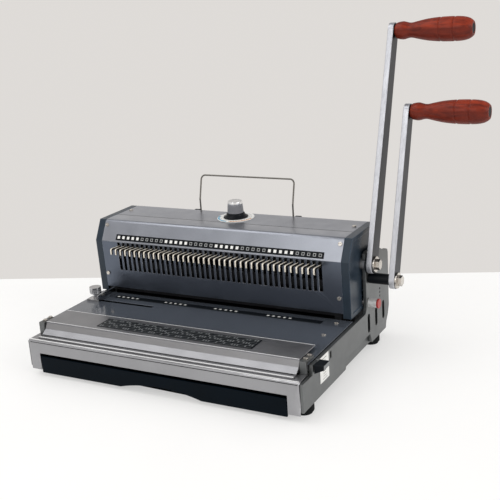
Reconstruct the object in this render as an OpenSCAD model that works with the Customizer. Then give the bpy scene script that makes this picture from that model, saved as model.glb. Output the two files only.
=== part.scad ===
// Desk-top wire binding machine with a punch lever, a closing lever and a front wire closer.
// Millimetres, +Z up, front towards -Y, levers on the +X side.
// The origin is on the floor, under the middle of the box round the whole machine.

/* [Base] */
// width over the two side plates
base_w = 426; // [422:1:440]
// thickness of the right side plate
side_t = 5; // [4:0.5:6]
// thickness of the left side plate
left_t = 1.5; // [1:0.1:2]
// front face of the fascia, forward of the top front edge of the tower
front_y = 187; // [183:1:200]
// rear edge of the side plates, behind the top front edge of the tower
rear_y = 117; // [110:1:130]
// height of the feet
foot_h = 12; // [8:0.5:16]
// diameter of the feet
foot_d = 26; // [18:1:32]
// front feet behind the fascia
foot_front = 30; // [18:1:60]
// rear feet ahead of the rear edge of the side plates
foot_rear = 42; // [20:1:60]
// thickness of the folded sheets
sheet_t = 1.5; // [1:0.1:2]
// height of the deck surface above the floor
deck_z = 66; // [64:0.5:70]
// height of the ledge on top of the fascia
ledge_z = 53.5; // [50:0.5:54]
// depth of the ledge on top of the fascia
ledge_d = 21; // [18:0.5:22]
// width of the groove along the fascia
groove_w = 1.2; // [0.8:0.1:1.6]
// depth of the groove along the fascia
groove_d = 0.8; // [0.4:0.1:0.8]
// middle of the groove below the fascia's top edge
groove_in = 3.4; // [2.6:0.1:5]
// width of the seam between the fascia and the right side plate
seam_w = 1.6; // [0.8:0.1:2]
// length of the low opening under each side plate
arch_len = 92; // [60:1:110]
// height of the low opening under each side plate
arch_h = 15; // [8:0.5:18]
// height of the tall rear part of the side plates
tall_z = 150; // [146:1:158]
// front edge of the tall rear part
tall_y = 28; // [24:0.5:28]

/* [Chip drawer] */
// width of the fascia at each end of the drawer opening
drawer_side = 16.5; // [15.5:0.5:38]
// top of the drawer opening above the floor
drawer_top = 34.5; // [30:0.5:35]
// gap above the drawer front
drawer_drop = 4.5; // [1:0.5:6]
// lower edge of the drawer front above the floor
drawer_low = 5.5; // [4:0.5:8]
// lower edge of the fascia above the floor
fascia_low = 9.5; // [9:0.5:12]
// clearance round the drawer front
drawer_gap = 1.2; // [0.6:0.1:2]
// length of the drawer, front to back
drawer_len = 208; // [170:1:220]
// thickness of the drawer walls
drawer_wall = 1.6; // [1.2:0.1:2.5]
// width of the finger notch in the lower edge of the drawer front
notch_w = 126; // [60:1:130]
// depth of the finger notch
notch_h = 8.5; // [3:0.5:9]
// middle of the finger notch right of the middle of the machine
notch_x = 6; // [-20:1:20]

/* [Side plates] */
// width of the three vent slots in the right side plate
vent_w = 9; // [4:0.5:10]
// middle of the front vent slot behind the tower's top front edge
vent_y = 35; // [34:0.5:38]
// distance from vent slot to vent slot
vent_step = 29; // [26:0.5:30]
// height of the middle of the vents' lower round end above the floor
vent_low = 37; // [36:0.5:40]
// height of the middle of the vents' upper round end above the floor
vent_top = 55.5; // [52:0.5:56]
// middle of the small slot ahead of the tower's top front edge
slit_y = 100.2; // [98:0.1:102]
// width of the small slot
slit_w = 4.5; // [3:0.5:6]
// length of the small slot
slit_h = 9.5; // [6:0.5:10]
// diameter of the three small holes
dot_d = 3.2; // [2:0.2:4]
// small holes ahead of the rear edge of the side plates
dot_in = 37; // [36:0.5:38]
// height of the lowest small hole above the floor
dot_z = 71.5; // [70:0.5:74]
// distance from small hole to small hole
dot_step = 5.5; // [4.5:0.5:6]

/* [Wire closer] */
// width of the end blocks beside the press bar
end_block_w = 9; // [8:0.1:10]
// depth of the upright leg of the end blocks, front to back
end_block_d = 5; // [4:0.5:6]
// front face of the end blocks behind the fascia
end_block_in = 24; // [22:0.5:24]
// depth of the flat top of the end blocks behind the leg
end_block_top = 19; // [16:0.5:20]
// reach of the press bar's lip forward of the cover
bar_lip = 11.9; // [10:0.1:12]
// height of the press bar's upright face
bar_brow = 9.3; // [7:0.1:10]
// bare length of the cover left of the chart strip
chart_left = 82; // [40:1:120]
// bare length of the cover right of the chart strip
chart_right = 70; // [40:1:120]
// bare depth of the cover in front of the chart strip
chart_front = 9; // [5:0.5:14]
// bare depth of the cover behind the chart strip
chart_rear = 10; // [5:0.5:14]
// top of the closer cover above the floor
cover_z = 70.7; // [70:0.1:72]
// depth of the closer cover, front to back
cover_d = 48; // [40:1:56]
// thickness of the bright jaw strip
jaw_t = 1.5; // [1:0.1:1.8]
// depth of the bright jaw strip
jaw_d = 11; // [8:0.5:12]
// front edge of the bright jaw strip behind the fascia
jaw_in = 8; // [6:0.5:9]
// gap between the closed press bar and the jaw strip
jaw_gap = 0.6; // [0.4:0.1:1]
// height of the end blocks beside the press bar
end_block_h = 16.5; // [12:0.5:20]
// thickness of the two rocking arms
rock_t = 4.5; // [3.5:0.5:4.5]
// distance of the rocking pivot forward of the tower's top front edge
rock_y = 30; // [27:0.5:33]
// height of the rocking pivot above the floor
rock_z = 42; // [40:0.5:44]
// diameter of the rocking pivot studs
rock_pin_d = 10; // [8:0.5:12]

/* [Tower] */
// height of the lower case screws above the bottom edge of the front panel
low_screw_h = 22; // [12:0.5:26]
// thickness of each end cap along the machine
cap_w = 11.6; // [11:0.1:12]
// top of the tower above the floor
tower_top = 178.6; // [178:0.2:184]
// crease of the front panel above the floor
crease_z = 149.4; // [148:0.2:152]
// crease of the front panel, forward of its top front edge
crease_y = 16.2; // [15:0.1:17]
// bottom edge of the front panel above the floor
tower_low = 76; // [75:0.5:79]
// gap under the end caps, above the deck
cap_foot = 3; // [2:0.5:6]
// bottom edge of the front panel, forward of its top front edge
low_y = 14; // [13.6:0.1:15]
// depth of the tower top
tower_d = 84.4; // [80:0.2:92]
// seam across the tower top, behind its front edge
seam_y = 29; // [20:0.5:40]
// thickness of the inner end frames
frame_t = 6; // [5:0.5:6]
// width of the raised rim round the end caps
rim_w = 6; // [4:0.5:9]
// depth of the recess inside the rim
rim_h = 1.2; // [0.6:0.1:1.6]

/* [Punch] */
// length kept free between the row of holes and each guide rod
hole_margin = 8; // [7:0.5:12]
// distance from hole to hole
pitch = 8.467; // [8.4:0.001:8.5]
// side of a square punch pin
pin_side = 4; // [3:0.1:4.5]
// clearance of a pin in the die and the stripper on each side
pin_gap = 0.15; // [0.1:0.01:0.3]
// height of the paper slot
slot_h = 5; // [4.5:0.1:6]
// thickness of the die plate
die_t = 8; // [6:0.5:10]
// thickness of the stripper plate
stripper_t = 6; // [5:0.5:7]
// depth of the marked strip on the deck
strip_d = 10; // [6:0.5:12]
// rear edge of the marked strip forward of the tower's top front edge
strip_y = 24; // [18:0.5:28]
// line of the holes behind the tower's top front edge
hole_y = 2; // [1:0.1:2.5]
// stroke of the punch ram
stroke = 9; // [8:0.1:9.5]
// punch shaft behind the tower's top front edge
shaft_y = 34; // [33:0.5:35]
// punch shaft above the floor
shaft_z = 134; // [133:0.5:136]
// diameter of the punch shaft
shaft_d = 16; // [14:0.5:17]
// radius of the eccentrics
ecc_r = 17; // [16.5:0.1:18]
// distance of the eccentrics from the middle of the machine
ecc_x = 120; // [80:1:150]
// width of the yokes round the eccentrics
yoke_w = 10; // [8:0.5:14]
// diameter of the guide rods
rod_d = 8; // [6:0.5:9]
// distance of the guide rods from the end frames
rod_inset = 14; // [13:0.5:15]

/* [Hooks and dial] */
// thickness of a hook
hook_t = 2.4; // [1.8:0.1:2.8]
// width of the slots the hooks run in
hook_slot_w = 5.4; // [3.8:0.1:5.6]
// lower end of the hook slots above the floor
hook_slot_low = 104.5; // [100:0.5:118]
// reach of the hooks from the crease of the panel
hook_reach = 20.3; // [16:0.1:24]
// length of the down-turned hook tips
hook_tip = 7.5; // [5:0.5:10]
// drop of the hooks' arms below the top of the hook row
hook_drop = 5.2; // [4:0.1:5.6]
// travel of the hook bar
hook_travel = 18; // [12:0.5:18]
// dial spindle ahead of the rear of the tower top
dial_in = 27.7; // [27.7:0.1:30]
// diameter of the dial spindle
dial_rod_d = 8; // [6:0.5:9]
// diameter of the white dial plate
dial_d = 55; // [44:1:55]
// thickness of the white dial plate
dial_t = 1.2; // [0.8:0.1:2]
// diameter of the flared skirt
skirt_d = 37; // [30:0.5:42]
// diameter of the dial knob at its foot
knob_d = 24; // [20:0.5:26]
// height of the dial knob above its skirt
knob_h = 18; // [12:0.5:24]

/* [Levers] */
// lean of the punch lever to the rear
punch_lean = 19; // [10:0.5:22]
// length of the punch lever from shaft to grip
punch_len = 318; // [280:1:340]
// width of the punch lever at its shaft
punch_foot_w = 27; // [22:0.5:27]
// width of the punch lever at its grip
punch_head_w = 22; // [18:0.5:25]
// inner face of the punch lever outside the side plate
punch_out = 3; // [2.5:0.1:4]
// lean of the closing lever to the rear
close_lean = 18; // [10:0.5:22]
// length of the closing lever from shaft to grip
close_len = 229; // [190:1:245]
// width of the closing lever at its shaft
close_foot_w = 24; // [20:0.5:27]
// width of the closing lever at its grip
close_head_w = 21; // [18:0.5:24]
// inner face of the closing lever outside the side plate
close_out = 32; // [28:0.5:38]
// thickness of both levers
lever_t = 8; // [6:0.5:10]
// closing shaft behind the tower's top front edge
close_y = 39; // [38:0.5:40]
// closing shaft above the floor
close_z = 112; // [111.5:0.5:113]
// diameter of the closing shaft and of the lever end of the punch shaft
spigot_d = 10; // [8:0.5:10]
// diameter of the black sleeve on the closing shaft
sleeve_d = 15; // [13:0.5:15.5]
// diameter of the lever washers
washer_d = 22; // [18:0.5:24]
// thickness of the lever washers
washer_t = 2.5; // [1.5:0.1:3]
// width over the flats of the lever bolts
bolt_af = 13; // [11:0.5:15]
// height of the lever bolt heads
bolt_h = 5.5; // [4:0.1:7]

/* [Wooden grips] */
// length of a grip
grip_len = 105.5; // [95:0.5:118]
// largest diameter of a grip
grip_d = 32.5; // [28:0.5:36]
// diameter of the grip collar
grip_collar_d = 24; // [21:0.5:26]
// diameter of the grip neck
grip_neck_d = 20; // [17:0.5:22]
// diameter of the grip end
grip_end_d = 18; // [16:0.5:22]
// diameter of the grip spindles
grip_rod_d = 8; // [6:0.5:9]
// end play of the grips
grip_play = 0.5; // [0.3:0.1:0.8]

/* [Wire rack] */
// width of the wire rack
rack_w = 158; // [120:1:180]
// height of the wire rack above its pivot
rack_h = 57; // [40:1:70]
// width of the clips that hold the rack
clip_w = 9; // [8:0.5:14]
// diameter of the rack wire
rack_d = 3.2; // [2.5:0.1:4]
// height of the straight foot of the rack
rack_foot = 21; // [12:0.5:30]
// lean of the rack above its foot, to the rear
rack_lean = 15; // [0:1:25]

/* [Side guide] */
// thumbscrew of the side guide inside the left side plate
guide_in = 16; // [15:0.5:20]
// thumbscrew of the side guide forward of the tower's top front edge
guide_y = 50; // [48:0.5:56]
// travel of the side guide along the deck
guide_travel = 100; // [60:1:120]
// diameter of the thumbscrew stem
guide_stem_d = 6; // [5:0.5:7]
// diameter of the thumbscrew head
guide_head_d = 17.5; // [15:0.5:21]
// height of the thumbscrew head
guide_head_h = 9.5; // [8:0.5:12]

/* [Selector and release rod] */
// depth of the block knob, front to back
selector_d = 18; // [16:0.5:22]
// height of the block knob
selector_h = 12.5; // [11:0.5:14]
// height of the outer end of the block knob
selector_end = 6; // [5:0.5:9]
// length of the block knob
selector_len = 13; // [12:0.5:18]
// block knob forward of the tower's top front edge
selector_y = 147; // [146:0.5:148]
// block knob above the floor
selector_z = 57; // [56.5:0.5:58]
// depth of the white plate behind the block knob, front to back
scale_d = 27; // [20:0.5:30]
// height of the white plate
scale_h = 33.5; // [26:0.5:34]
// front edge of the white plate behind the block knob's axis
scale_in = 11; // [10.5:0.5:14]
// diameter of the release rod
release_d = 12.5; // [10:0.5:12.5]
// length of the release rod outside the side plate
release_len = 15; // [12:0.5:20]
// length of the red tip
tip_len = 3; // [2:0.5:6]

/* [Clearances] */
// radial running clearance of shafts, rods and pins
run_gap = 0.06; // [0.03:0.01:0.09]
// clearance between pieces that pass each other
pass_gap = 0.5; // [0.4:0.05:0.6]
// clearance at each end of the press bar
bar_gap = 1.2; // [0.8:0.1:1.6]
// clearance between an end cap and its side plate
cap_gap = 1; // [0.6:0.1:1.6]
// clearance between a rocking arm and its side plate
rock_gap = 4.5; // [4:0.1:5]
// clearance between a rocking arm and its end frame
arm_gap = 1; // [0.6:0.1:1.4]
// clearance between the end frames and the front and rear of the tower
frame_gap = 6.4; // [5:0.1:8]

/* [Nodes] */
// list of the pieces, each drawn by the module of the same name
// piece to draw, or all

/* [Hidden] */
$fn = 48;
e = 0.01;
half_w = base_w / 2;
side_in = half_w - side_t;
left_out = side_in + left_t;
yf = -front_y;
pan_top = foot_h + sheet_t;
side_low = foot_h + 2;
side_top = deck_z - 2;
cap_low = deck_z + cap_foot;
cap_out = side_in - cap_gap;
panel_x = cap_out - cap_w;
rock_x = side_in - rock_gap - rock_t;
frame_out = rock_x - arm_gap;
frame_in = frame_out - frame_t;
frame_y0 = frame_gap - 0.2 - crease_y;
frame_y1 = tower_d - frame_gap;
rod_x = frame_in - rod_inset;
holes = floor(2 * (rod_x - hole_margin) / pitch);
drawer_w = 2 * (side_in - drawer_side);
dial_y = tower_d - dial_in;
guide_x = side_in - guide_in;
slant = atan2(crease_y, tower_top - crease_z);
die_top = deck_z;
strip_low = die_top + slot_h;
strip_top = strip_low + stripper_t;
die_y0 = -low_y + sheet_t + 0.5;
die_y1 = hole_y + 12;
stop_y = hole_y + 4.5;
pin_low = strip_low + 1;
plate_low = strip_top + stroke + 2;
beam_low = plate_low + 6;
beam_top = beam_low + 24;
ecc_angle = 45;
ecc_e = stroke / (2 * sin(ecc_angle));
ecc_y = shaft_y - ecc_e * cos(ecc_angle);
ecc_z = shaft_z + ecc_e * sin(ecc_angle);
bar_y = yf + 28;
bar_x = side_in - pass_gap - end_block_w - bar_gap;
jaw_y = yf + jaw_in;
tip_z = ledge_z + jaw_t + jaw_gap;
arm_y = bar_y + 7;
lobe_r = 7;
lobe_d = 8.2;
lobe_angle = 5;
cam_hub_r = 7.5;
pad_z = close_z - 9.6;
hook_top = crease_z - 1.4;
bar_top = hook_top + 1;
bar_low = hook_top - 9;
arm_low = bar_low + 24;
rod_top = arm_low + 1;
punch_in = half_w + punch_out;
punch_face = punch_in + lever_t;
close_in = half_w + close_out;
close_face = close_in + lever_t;
rack_y = tower_d + 3.6;
rack_z = tower_top - 4.6;
release_y = close_y - 1;
release_z = tower_low;
head_z = deck_z + 11;
punch_grip_y = shaft_y + punch_len * sin(punch_lean);
punch_grip_z = shaft_z + punch_len * cos(punch_lean);
close_grip_y = close_y + close_len * sin(close_lean);
close_grip_z = close_z + close_len * cos(close_lean);
grip_cap = 3;
right_x = max(close_face, punch_face) + grip_play + grip_len;
back_y = max(rear_y, punch_grip_y + grip_d / 2, close_grip_y + grip_d / 2);
origin_x = (right_x - left_out) / 2;
origin_y = (back_y + yf) / 2;

body_grey = [0.55, 0.56, 0.57];
dark_blue = [0.17, 0.21, 0.26];
silver = [0.75, 0.76, 0.78];
steel = [0.66, 0.67, 0.69];
black = [0.08, 0.08, 0.09];
wood = [0.42, 0.16, 0.08];
cream = [0.85, 0.77, 0.55];
white = [0.92, 0.92, 0.9];
nickel = [0.78, 0.75, 0.7];
red = [0.75, 0.12, 0.1];

// moves the machine so that the origin is under the middle of its box
module placed() {
  translate([-origin_x, -origin_y, 0]) children();
}

// block between two corners
module block(a, b) {
  translate(a) cube(b - a);
}

// outline in the Y-Z plane, made solid from x0 to x1
module slab(points, x0, x1) {
  translate([x0, 0, 0]) rotate([90, 0, 90]) linear_extrude(x1 - x0) polygon(points);
}

// round bar along X
module bar(y, z, d, x0, x1) {
  translate([x0, y, z]) rotate([0, 90, 0]) cylinder(h = x1 - x0, d = d);
}

// round bar along Z
module post(x, y, d, z0, z1) {
  translate([x, y, z0]) cylinder(h = z1 - z0, d = d);
}

// both the piece and its mirror image on the other side of the machine
module both() {
  children();
  mirror([1, 0, 0]) children();
}

// one child at each hole of the row
module each_hole() {
  for (i = [0 : holes - 1]) translate([(i - (holes - 1) / 2) * pitch, 0, 0]) children();
}

function side_outline() = [
  [yf, side_low], [-54, side_low], [-54 + 7, side_low + arch_h], [-54 + arch_len, side_low + arch_h],
  [-54 + arch_len + 7, side_low], [rear_y - 15, side_low], [rear_y - 12, side_low + 10],
  [rear_y - 5, side_low + 19], [rear_y, side_low + 31], [rear_y, 126], [rear_y - 2, 131],
  [rear_y - 7, 133], [rear_y - 14, 133], [rear_y - 51, tall_z], [tall_y + 4, tall_z],
  [tall_y + 1, tall_z - 1], [tall_y, tall_z - 4], [tall_y, side_top + 8], [tall_y - 2, side_top + 3],
  [tall_y - 6, side_top], [10 - selector_y, side_top], [7 - selector_y, side_top - 3],
  [7 - selector_y, ledge_z - 2], [yf, ledge_z - 2]
];

function cap_outline() = [
  [-low_y, cap_low], [-low_y, tower_low], [-crease_y, crease_z], [0, tower_top], [tower_d, tower_top],
  [tower_d, cap_low]
];

function cap_inside(g, low) = [
  [-low_y + g, low], [-crease_y + g, crease_z - g * 0.25], [g * 0.55, tower_top - g],
  [tower_d - g, tower_top - g], [tower_d - g, low]
];

module base_pan() {
  color(body_grey) placed() {
    block([-side_in, yf + 5, foot_h], [side_in, rear_y - 4, pan_top]);
    both() block([side_in - sheet_t, yf + 12.5, foot_h], [side_in, rear_y - 4, side_low + arch_h + 4]);
  }
}

module left_side_plate() {
  color(body_grey) placed() mirror([1, 0, 0]) {
    slab(side_outline(), side_in, left_out);
    bar(-rock_y, rock_z, rock_pin_d, rock_x - 0.5, side_in + e);
  }
}

module right_side_plate() {
  slit_top = side_top - 4;
  color(body_grey) placed() difference() {
    union() {
      slab(side_outline(), side_in, half_w);
      bar(-rock_y, rock_z, rock_pin_d, rock_x - 0.5, side_in + e);
      block([side_in, -selector_y - 10, ledge_z - 3], [half_w, 7 - selector_y + e, side_top]);
    }
    block([side_in - 1, yf - 1, side_low - 1], [side_in + seam_w, yf + 3, ledge_z]);
    bar(-selector_y, selector_z, 8 + 2 * run_gap, side_in - 1, half_w + 1);
    bar(shaft_y, shaft_z, shaft_d + 2 * run_gap, side_in - 1, half_w + 1);
    bar(close_y, close_z, spigot_d + 2 * run_gap, side_in - 1, half_w + 1);
    bar(release_y, release_z, release_d + 2 * run_gap, side_in - 1, half_w + 1);
    for (i = [0 : 2]) {
      y = vent_y + vent_step * i;
      block([side_in - 1, y - vent_w / 2, vent_low], [half_w + 1, y + vent_w / 2, vent_top]);
      bar(y, vent_low, vent_w, side_in - 1, half_w + 1);
      bar(y, vent_top, vent_w, side_in - 1, half_w + 1);
      bar(rear_y - dot_in, dot_z + dot_step * i, dot_d, side_in - 1, half_w + 1);
    }
    block([side_in - 1, vent_y - vent_w, side_low + arch_h + 4.5],
      [half_w - sheet_t, vent_y + 2 * vent_step + vent_w, side_top - 2]);
    block([side_in - 1, rear_y - dot_in - dot_d, dot_z - dot_d],
      [half_w - sheet_t, rear_y - dot_in + dot_d, dot_z + 2 * dot_step + dot_d]);
    block([side_in - 1, -slit_y - slit_w / 2, slit_top - slit_h],
      [half_w + 1, slit_w / 2 - slit_y, slit_top]);
    block([side_in - 1, -slit_y - slit_w - 3, slit_top - slit_h - 3],
      [half_w - sheet_t, slit_w + 3 - slit_y, side_top - 2]);
  }
}

module front_fascia() {
  wing = bar_x + bar_gap;
  color(silver) placed() {
    difference() {
      block([-side_in, yf, fascia_low], [side_in, yf + sheet_t, ledge_z]);
      block([-drawer_w / 2, yf - 1, fascia_low - 1], [drawer_w / 2, yf + 3, drawer_top]);
      block([-side_in - 1, yf - 1, ledge_z - groove_in - groove_w / 2],
        [side_in + 1, yf + groove_d, ledge_z - groove_in + groove_w / 2]);
    }
    block([-side_in, yf, ledge_z - sheet_t], [side_in, yf + ledge_d, ledge_z]);
    both() block([wing, yf, ledge_z - sheet_t], [side_in, yf + end_block_in + end_block_d, ledge_z]);
    both() block([side_in - sheet_t, yf, side_low], [side_in, yf + 12, ledge_z]);
  }
}

module rear_panel() {
  y1 = rear_y - 2;
  color(body_grey) placed() slab([
    [y1 - 2, foot_h], [y1, foot_h], [y1, side_top - 2], [tower_d, side_top - 2],
    [tower_d, side_top - 2 - sheet_t], [y1 - 2, side_top - 2 - sheet_t]
  ], -side_in, side_in);
}

module deck_plate() {
  under = deck_z - sheet_t;
  stem = guide_stem_d + 0.6;
  color(body_grey) placed() difference() {
    union() {
      block([-side_in, arm_y + 18, under], [side_in, die_y0, deck_z]);
      both() block([bar_x + 1, yf + end_block_in + end_block_d, under], [side_in, arm_y + 19, deck_z]);
    }
    block([-guide_x, -guide_y - stem / 2, under - 1],
      [guide_travel - guide_x, stem / 2 - guide_y, deck_z + 1]);
    post(-guide_x, -guide_y, stem, under - 1, deck_z + 1);
    post(guide_travel - guide_x, -guide_y, stem, under - 1, deck_z + 1);
  }
}

module deck_strip() {
  half = holes * pitch / 2 + 1;
  color(black) placed() block([-half, -strip_y - strip_d, deck_z], [half, -strip_y, deck_z + 0.5]);
}

module feet() {
  color(black) placed() for (x = [foot_d / 2 + 1 - left_out, half_w - 1 - foot_d / 2],
      y = [yf + foot_front, rear_y - foot_rear]) {
    post(x, y, foot_d - 4, 0, 3);
    post(x, y, foot_d, 3 - e, foot_h);
  }
}

module end_frame() {
  slab([
    [frame_y0, pan_top], [frame_y0, crease_z - frame_gap], [frame_gap, tower_top - frame_gap],
    [frame_y1, tower_top - frame_gap], [frame_y1, pan_top]
  ], frame_in, frame_out);
}

module end_frames() {
  color(steel) placed() {
    mirror([1, 0, 0]) difference() {
      end_frame();
      bar(shaft_y, shaft_z, shaft_d + 6, frame_in - 1, frame_out + 1);
    }
    difference() {
      end_frame();
      bar(shaft_y, shaft_z, shaft_d + 6, frame_in - 1, frame_out + 1);
      bar(close_y, close_z, spigot_d + 5, frame_in - 1, frame_out + 1);
    }
  }
}

// blocks on the end frames that carry the die and hold the tops of the guide rods
module frame_brackets() {
  color(steel) placed() both() {
    block([frame_in - 12, die_y0, die_top - die_t - 12], [frame_in, die_y1, die_top - die_t]);
    difference() {
      block([rod_x - 8, hole_y - 6, bar_top + 9], [frame_in, hole_y + 6, bar_top + 15]);
      post(rod_x, hole_y, rod_d, bar_top + 8, bar_top + 16);
    }
  }
}

module pin_holes(z0, z1) {
  side = pin_side + 2 * pin_gap;
  each_hole() block([-side / 2, hole_y - side / 2, z0], [side / 2, hole_y + side / 2, z1]);
}

module die_plate() {
  color(steel) placed() difference() {
    block([-frame_in, die_y0, die_top - die_t], [frame_in, die_y1, die_top]);
    pin_holes(die_top - die_t - 1, die_top + 1);
  }
}

module die_spacer() {
  color(steel) placed() {
    block([-frame_in, stop_y, die_top], [frame_in, die_y1, strip_low]);
    both() block([frame_in - 10, die_y0, die_top], [frame_in, stop_y + e, strip_low]);
  }
}

module stripper_plate() {
  color(steel) placed() difference() {
    block([-frame_in, die_y0, strip_low], [frame_in, die_y1, strip_top]);
    pin_holes(strip_low - 1, strip_top + 1);
    both() post(rod_x, hole_y, rod_d, strip_low - 1, strip_top + 1);
  }
}

module guide_rods() {
  color(steel) placed() both() post(rod_x, hole_y, rod_d, strip_low, bar_top + 15);
}

module ring(y, z, outer, inner, x0, x1) {
  difference() {
    bar(y, z, outer, x0, x1);
    bar(y, z, inner, x0 - 1, x1 + 1);
  }
}

module shaft_bushes() {
  color(nickel) placed() {
    both() ring(shaft_y, shaft_z, shaft_d + 6, shaft_d + 2 * run_gap, frame_in, frame_out);
    ring(close_y, close_z, spigot_d + 5, spigot_d + 2 * run_gap, frame_in, frame_out);
  }
}

module tower_front_panel() {
  s = sheet_t;
  color(body_grey) placed() difference() {
    slab([
      [-low_y, tower_low], [-crease_y, crease_z], [0, tower_top], [seam_y, tower_top],
      [seam_y, tower_top - s], [s * 0.6, tower_top - s], [s - crease_y, crease_z - s * 0.3],
      [s - low_y, tower_low]
    ], -panel_x, panel_x);
    each_hole() {
      block([-hook_slot_w / 2, -25, hook_slot_low], [hook_slot_w / 2, 0, crease_z - 0.9]);
    }
  }
}

module tower_rear_cover() {
  s = sheet_t;
  color(body_grey) placed() difference() {
    slab([
      [seam_y, tower_top], [tower_d, tower_top], [tower_d, side_top - 2 - s], [tower_d - s, side_top - 2 - s],
      [tower_d - s, tower_top - s], [seam_y, tower_top - s]
    ], -panel_x, panel_x);
    post(0, dial_y, dial_rod_d + 2 * run_gap, tower_top - 3, tower_top + 1);
  }
}

module cap_shell() {
  skin = cap_out - rim_h;
  difference() {
    slab(cap_outline(), panel_x, cap_out);
    slab(cap_inside(2.2, cap_low - 1), panel_x - 1, skin - 1.2);
    slab(cap_inside(rim_w, cap_low + rim_w), skin, cap_out + 1);
  }
}

module left_cap() {
  color(dark_blue) placed() mirror([1, 0, 0]) cap_shell();
}

module right_cap() {
  color(dark_blue) placed() difference() {
    cap_shell();
    bar(shaft_y, shaft_z, shaft_d + 1.2, panel_x, cap_out + 1);
    bar(close_y, close_z, spigot_d + 1.2, panel_x, cap_out + 1);
    bar(release_y, release_z, release_d + 3.5, panel_x, cap_out + 1);
  }
}

// places a piece on the upper face of the front panel, a distance below its top edge
module on_upper_face(drop) {
  translate([0, -drop * sin(slant), tower_top - drop * cos(slant)]) rotate([90 - slant, 0, 0]) children();
}

module index_strip() {
  half = holes * pitch / 2 + 1;
  drop = 0.79 * (tower_top - crease_z) / cos(slant);
  color(black) placed() on_upper_face(drop) block([-half, -4.6, 0], [half, 4.6, 0.5]);
}

module screw_head(d, h) {
  difference() {
    cylinder(h = h, d = d);
    block([-d, -0.4, h - 0.6], [d, 0.4, h + 1]);
  }
}

module case_screws() {
  face_low = low_screw_h / (crease_z - tower_low);
  face_tilt = atan2(crease_y - low_y, crease_z - tower_low);
  block_y = yf + end_block_in + end_block_d;
  color(nickel) placed() {
    both() {
      translate([panel_x - 4.5, 0, 0]) on_upper_face(8.7) screw_head(6, 1.6);
      translate([panel_x - 4.5, -low_y - face_low * (crease_y - low_y), tower_low + low_screw_h])
        rotate([90 + face_tilt, 0, 0]) rotate([0, 0, 35]) screw_head(6, 1.6);
      translate([panel_x - 8, seam_y + 26, tower_top]) screw_head(6, 1.6);
      for (y = [block_y + 4, block_y + end_block_top - 4])
        translate([bar_x + bar_gap + end_block_w / 2, y, ledge_z + end_block_h]) screw_head(6, 1.8);
    }
    for (y = [-69, -26]) translate([side_in - 18, y, deck_z]) screw_head(6, 1.2);
  }
}

module dial_plate() {
  color(white) placed() difference() {
    post(0, dial_y, dial_d, tower_top, tower_top + dial_t);
    post(0, dial_y, dial_rod_d + 1, tower_top - 1, tower_top + dial_t + 1);
  }
}

module rack_clips() {
  x0 = rack_w / 2 + rack_d / 2 + 1;
  color(black) placed() both() difference() {
    block([x0, tower_d, rack_z - 5], [x0 + clip_w, rack_y + 4, rack_z + 4]);
    bar(rack_y, rack_z, rack_d - 0.4 + 2 * run_gap, x0 - 1, x0 + 7);
  }
}

module jaw_strip() {
  color(silver) placed() block([-bar_x, jaw_y, ledge_z], [bar_x, jaw_y + jaw_d, ledge_z + jaw_t]);
}

module end_blocks() {
  leg = yf + end_block_in + end_block_d;
  top = ledge_z + end_block_h;
  color(body_grey) placed() both() {
    block([bar_x + bar_gap, yf + end_block_in, ledge_z], [side_in - pass_gap, leg, top]);
    block([bar_x + bar_gap, leg - e, deck_z], [side_in - pass_gap, leg + end_block_top, top]);
  }
}

module scale_plate() {
  y0 = scale_in - selector_y;
  top = side_top - 0.5;
  color(white) placed() block([half_w, y0, top - scale_h], [half_w + 0.6, y0 + scale_d, top]);
}

module punch_shaft() {
  color(steel) placed() {
    bar(shaft_y, shaft_z, shaft_d, -frame_out, punch_in);
    bar(shaft_y, shaft_z, spigot_d, punch_in - e, punch_face);
  }
}

module punch_eccentrics() {
  half = yoke_w / 2 - 0.3;
  color(steel) placed() both() difference() {
    bar(ecc_y, ecc_z, 2 * ecc_r, ecc_x - half, ecc_x + half);
    bar(shaft_y, shaft_z, shaft_d, ecc_x - half - 1, ecc_x + half + 1);
  }
}

module punch_hub() {
  color(black) placed() ring(shaft_y, shaft_z, punch_foot_w - 1, shaft_d, half_w + 0.5, punch_in);
}

// tapered flat lever standing at its shaft, leaning to the rear
module lever(y, z, lean, len, foot_w, head_w, x0) {
  translate([0, y, z]) rotate([-lean, 0, 0]) difference() {
    union() {
      slab([[-foot_w / 2, 0], [-head_w / 2, len], [head_w / 2, len], [foot_w / 2, 0]], x0, x0 + lever_t);
      bar(0, 0, foot_w, x0, x0 + lever_t);
      bar(0, len, head_w, x0, x0 + lever_t);
    }
    bar(0, 0, spigot_d, x0 - 1, x0 + lever_t + 1);
    bar(0, len, grip_rod_d, x0 - 1, x0 + lever_t + 1);
  }
}

module punch_arm() {
  color(steel) placed() lever(shaft_y, shaft_z, punch_lean, punch_len, punch_foot_w, punch_head_w, punch_in);
}

// washer and hexagon head on the end of a shaft
module lever_bolt(y, z, x0) {
  r = bolt_af / 2 / cos(30);
  bar(y, z, washer_d, x0, x0 + washer_t);
  translate([0, y, z]) slab([for (i = [0 : 5]) [r * cos(60 * i + 15), r * sin(60 * i + 15)]],
    x0 + washer_t - e, x0 + washer_t + bolt_h);
}

module punch_bolt() {
  color(nickel) placed() lever_bolt(shaft_y, shaft_z, punch_face);
}

// round spindle through the head of a lever with a flat end that keeps the grip on
module grip_spindle(y, z, x0) {
  x1 = x0 + lever_t + grip_play + grip_len - grip_cap;
  bar(y, z, grip_rod_d, x0, x1 + e);
  bar(y, z, grip_end_d - 5, x1, x1 + grip_cap);
}

module punch_spindle() {
  color(black) placed() grip_spindle(punch_grip_y, punch_grip_z, punch_in);
}

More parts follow.
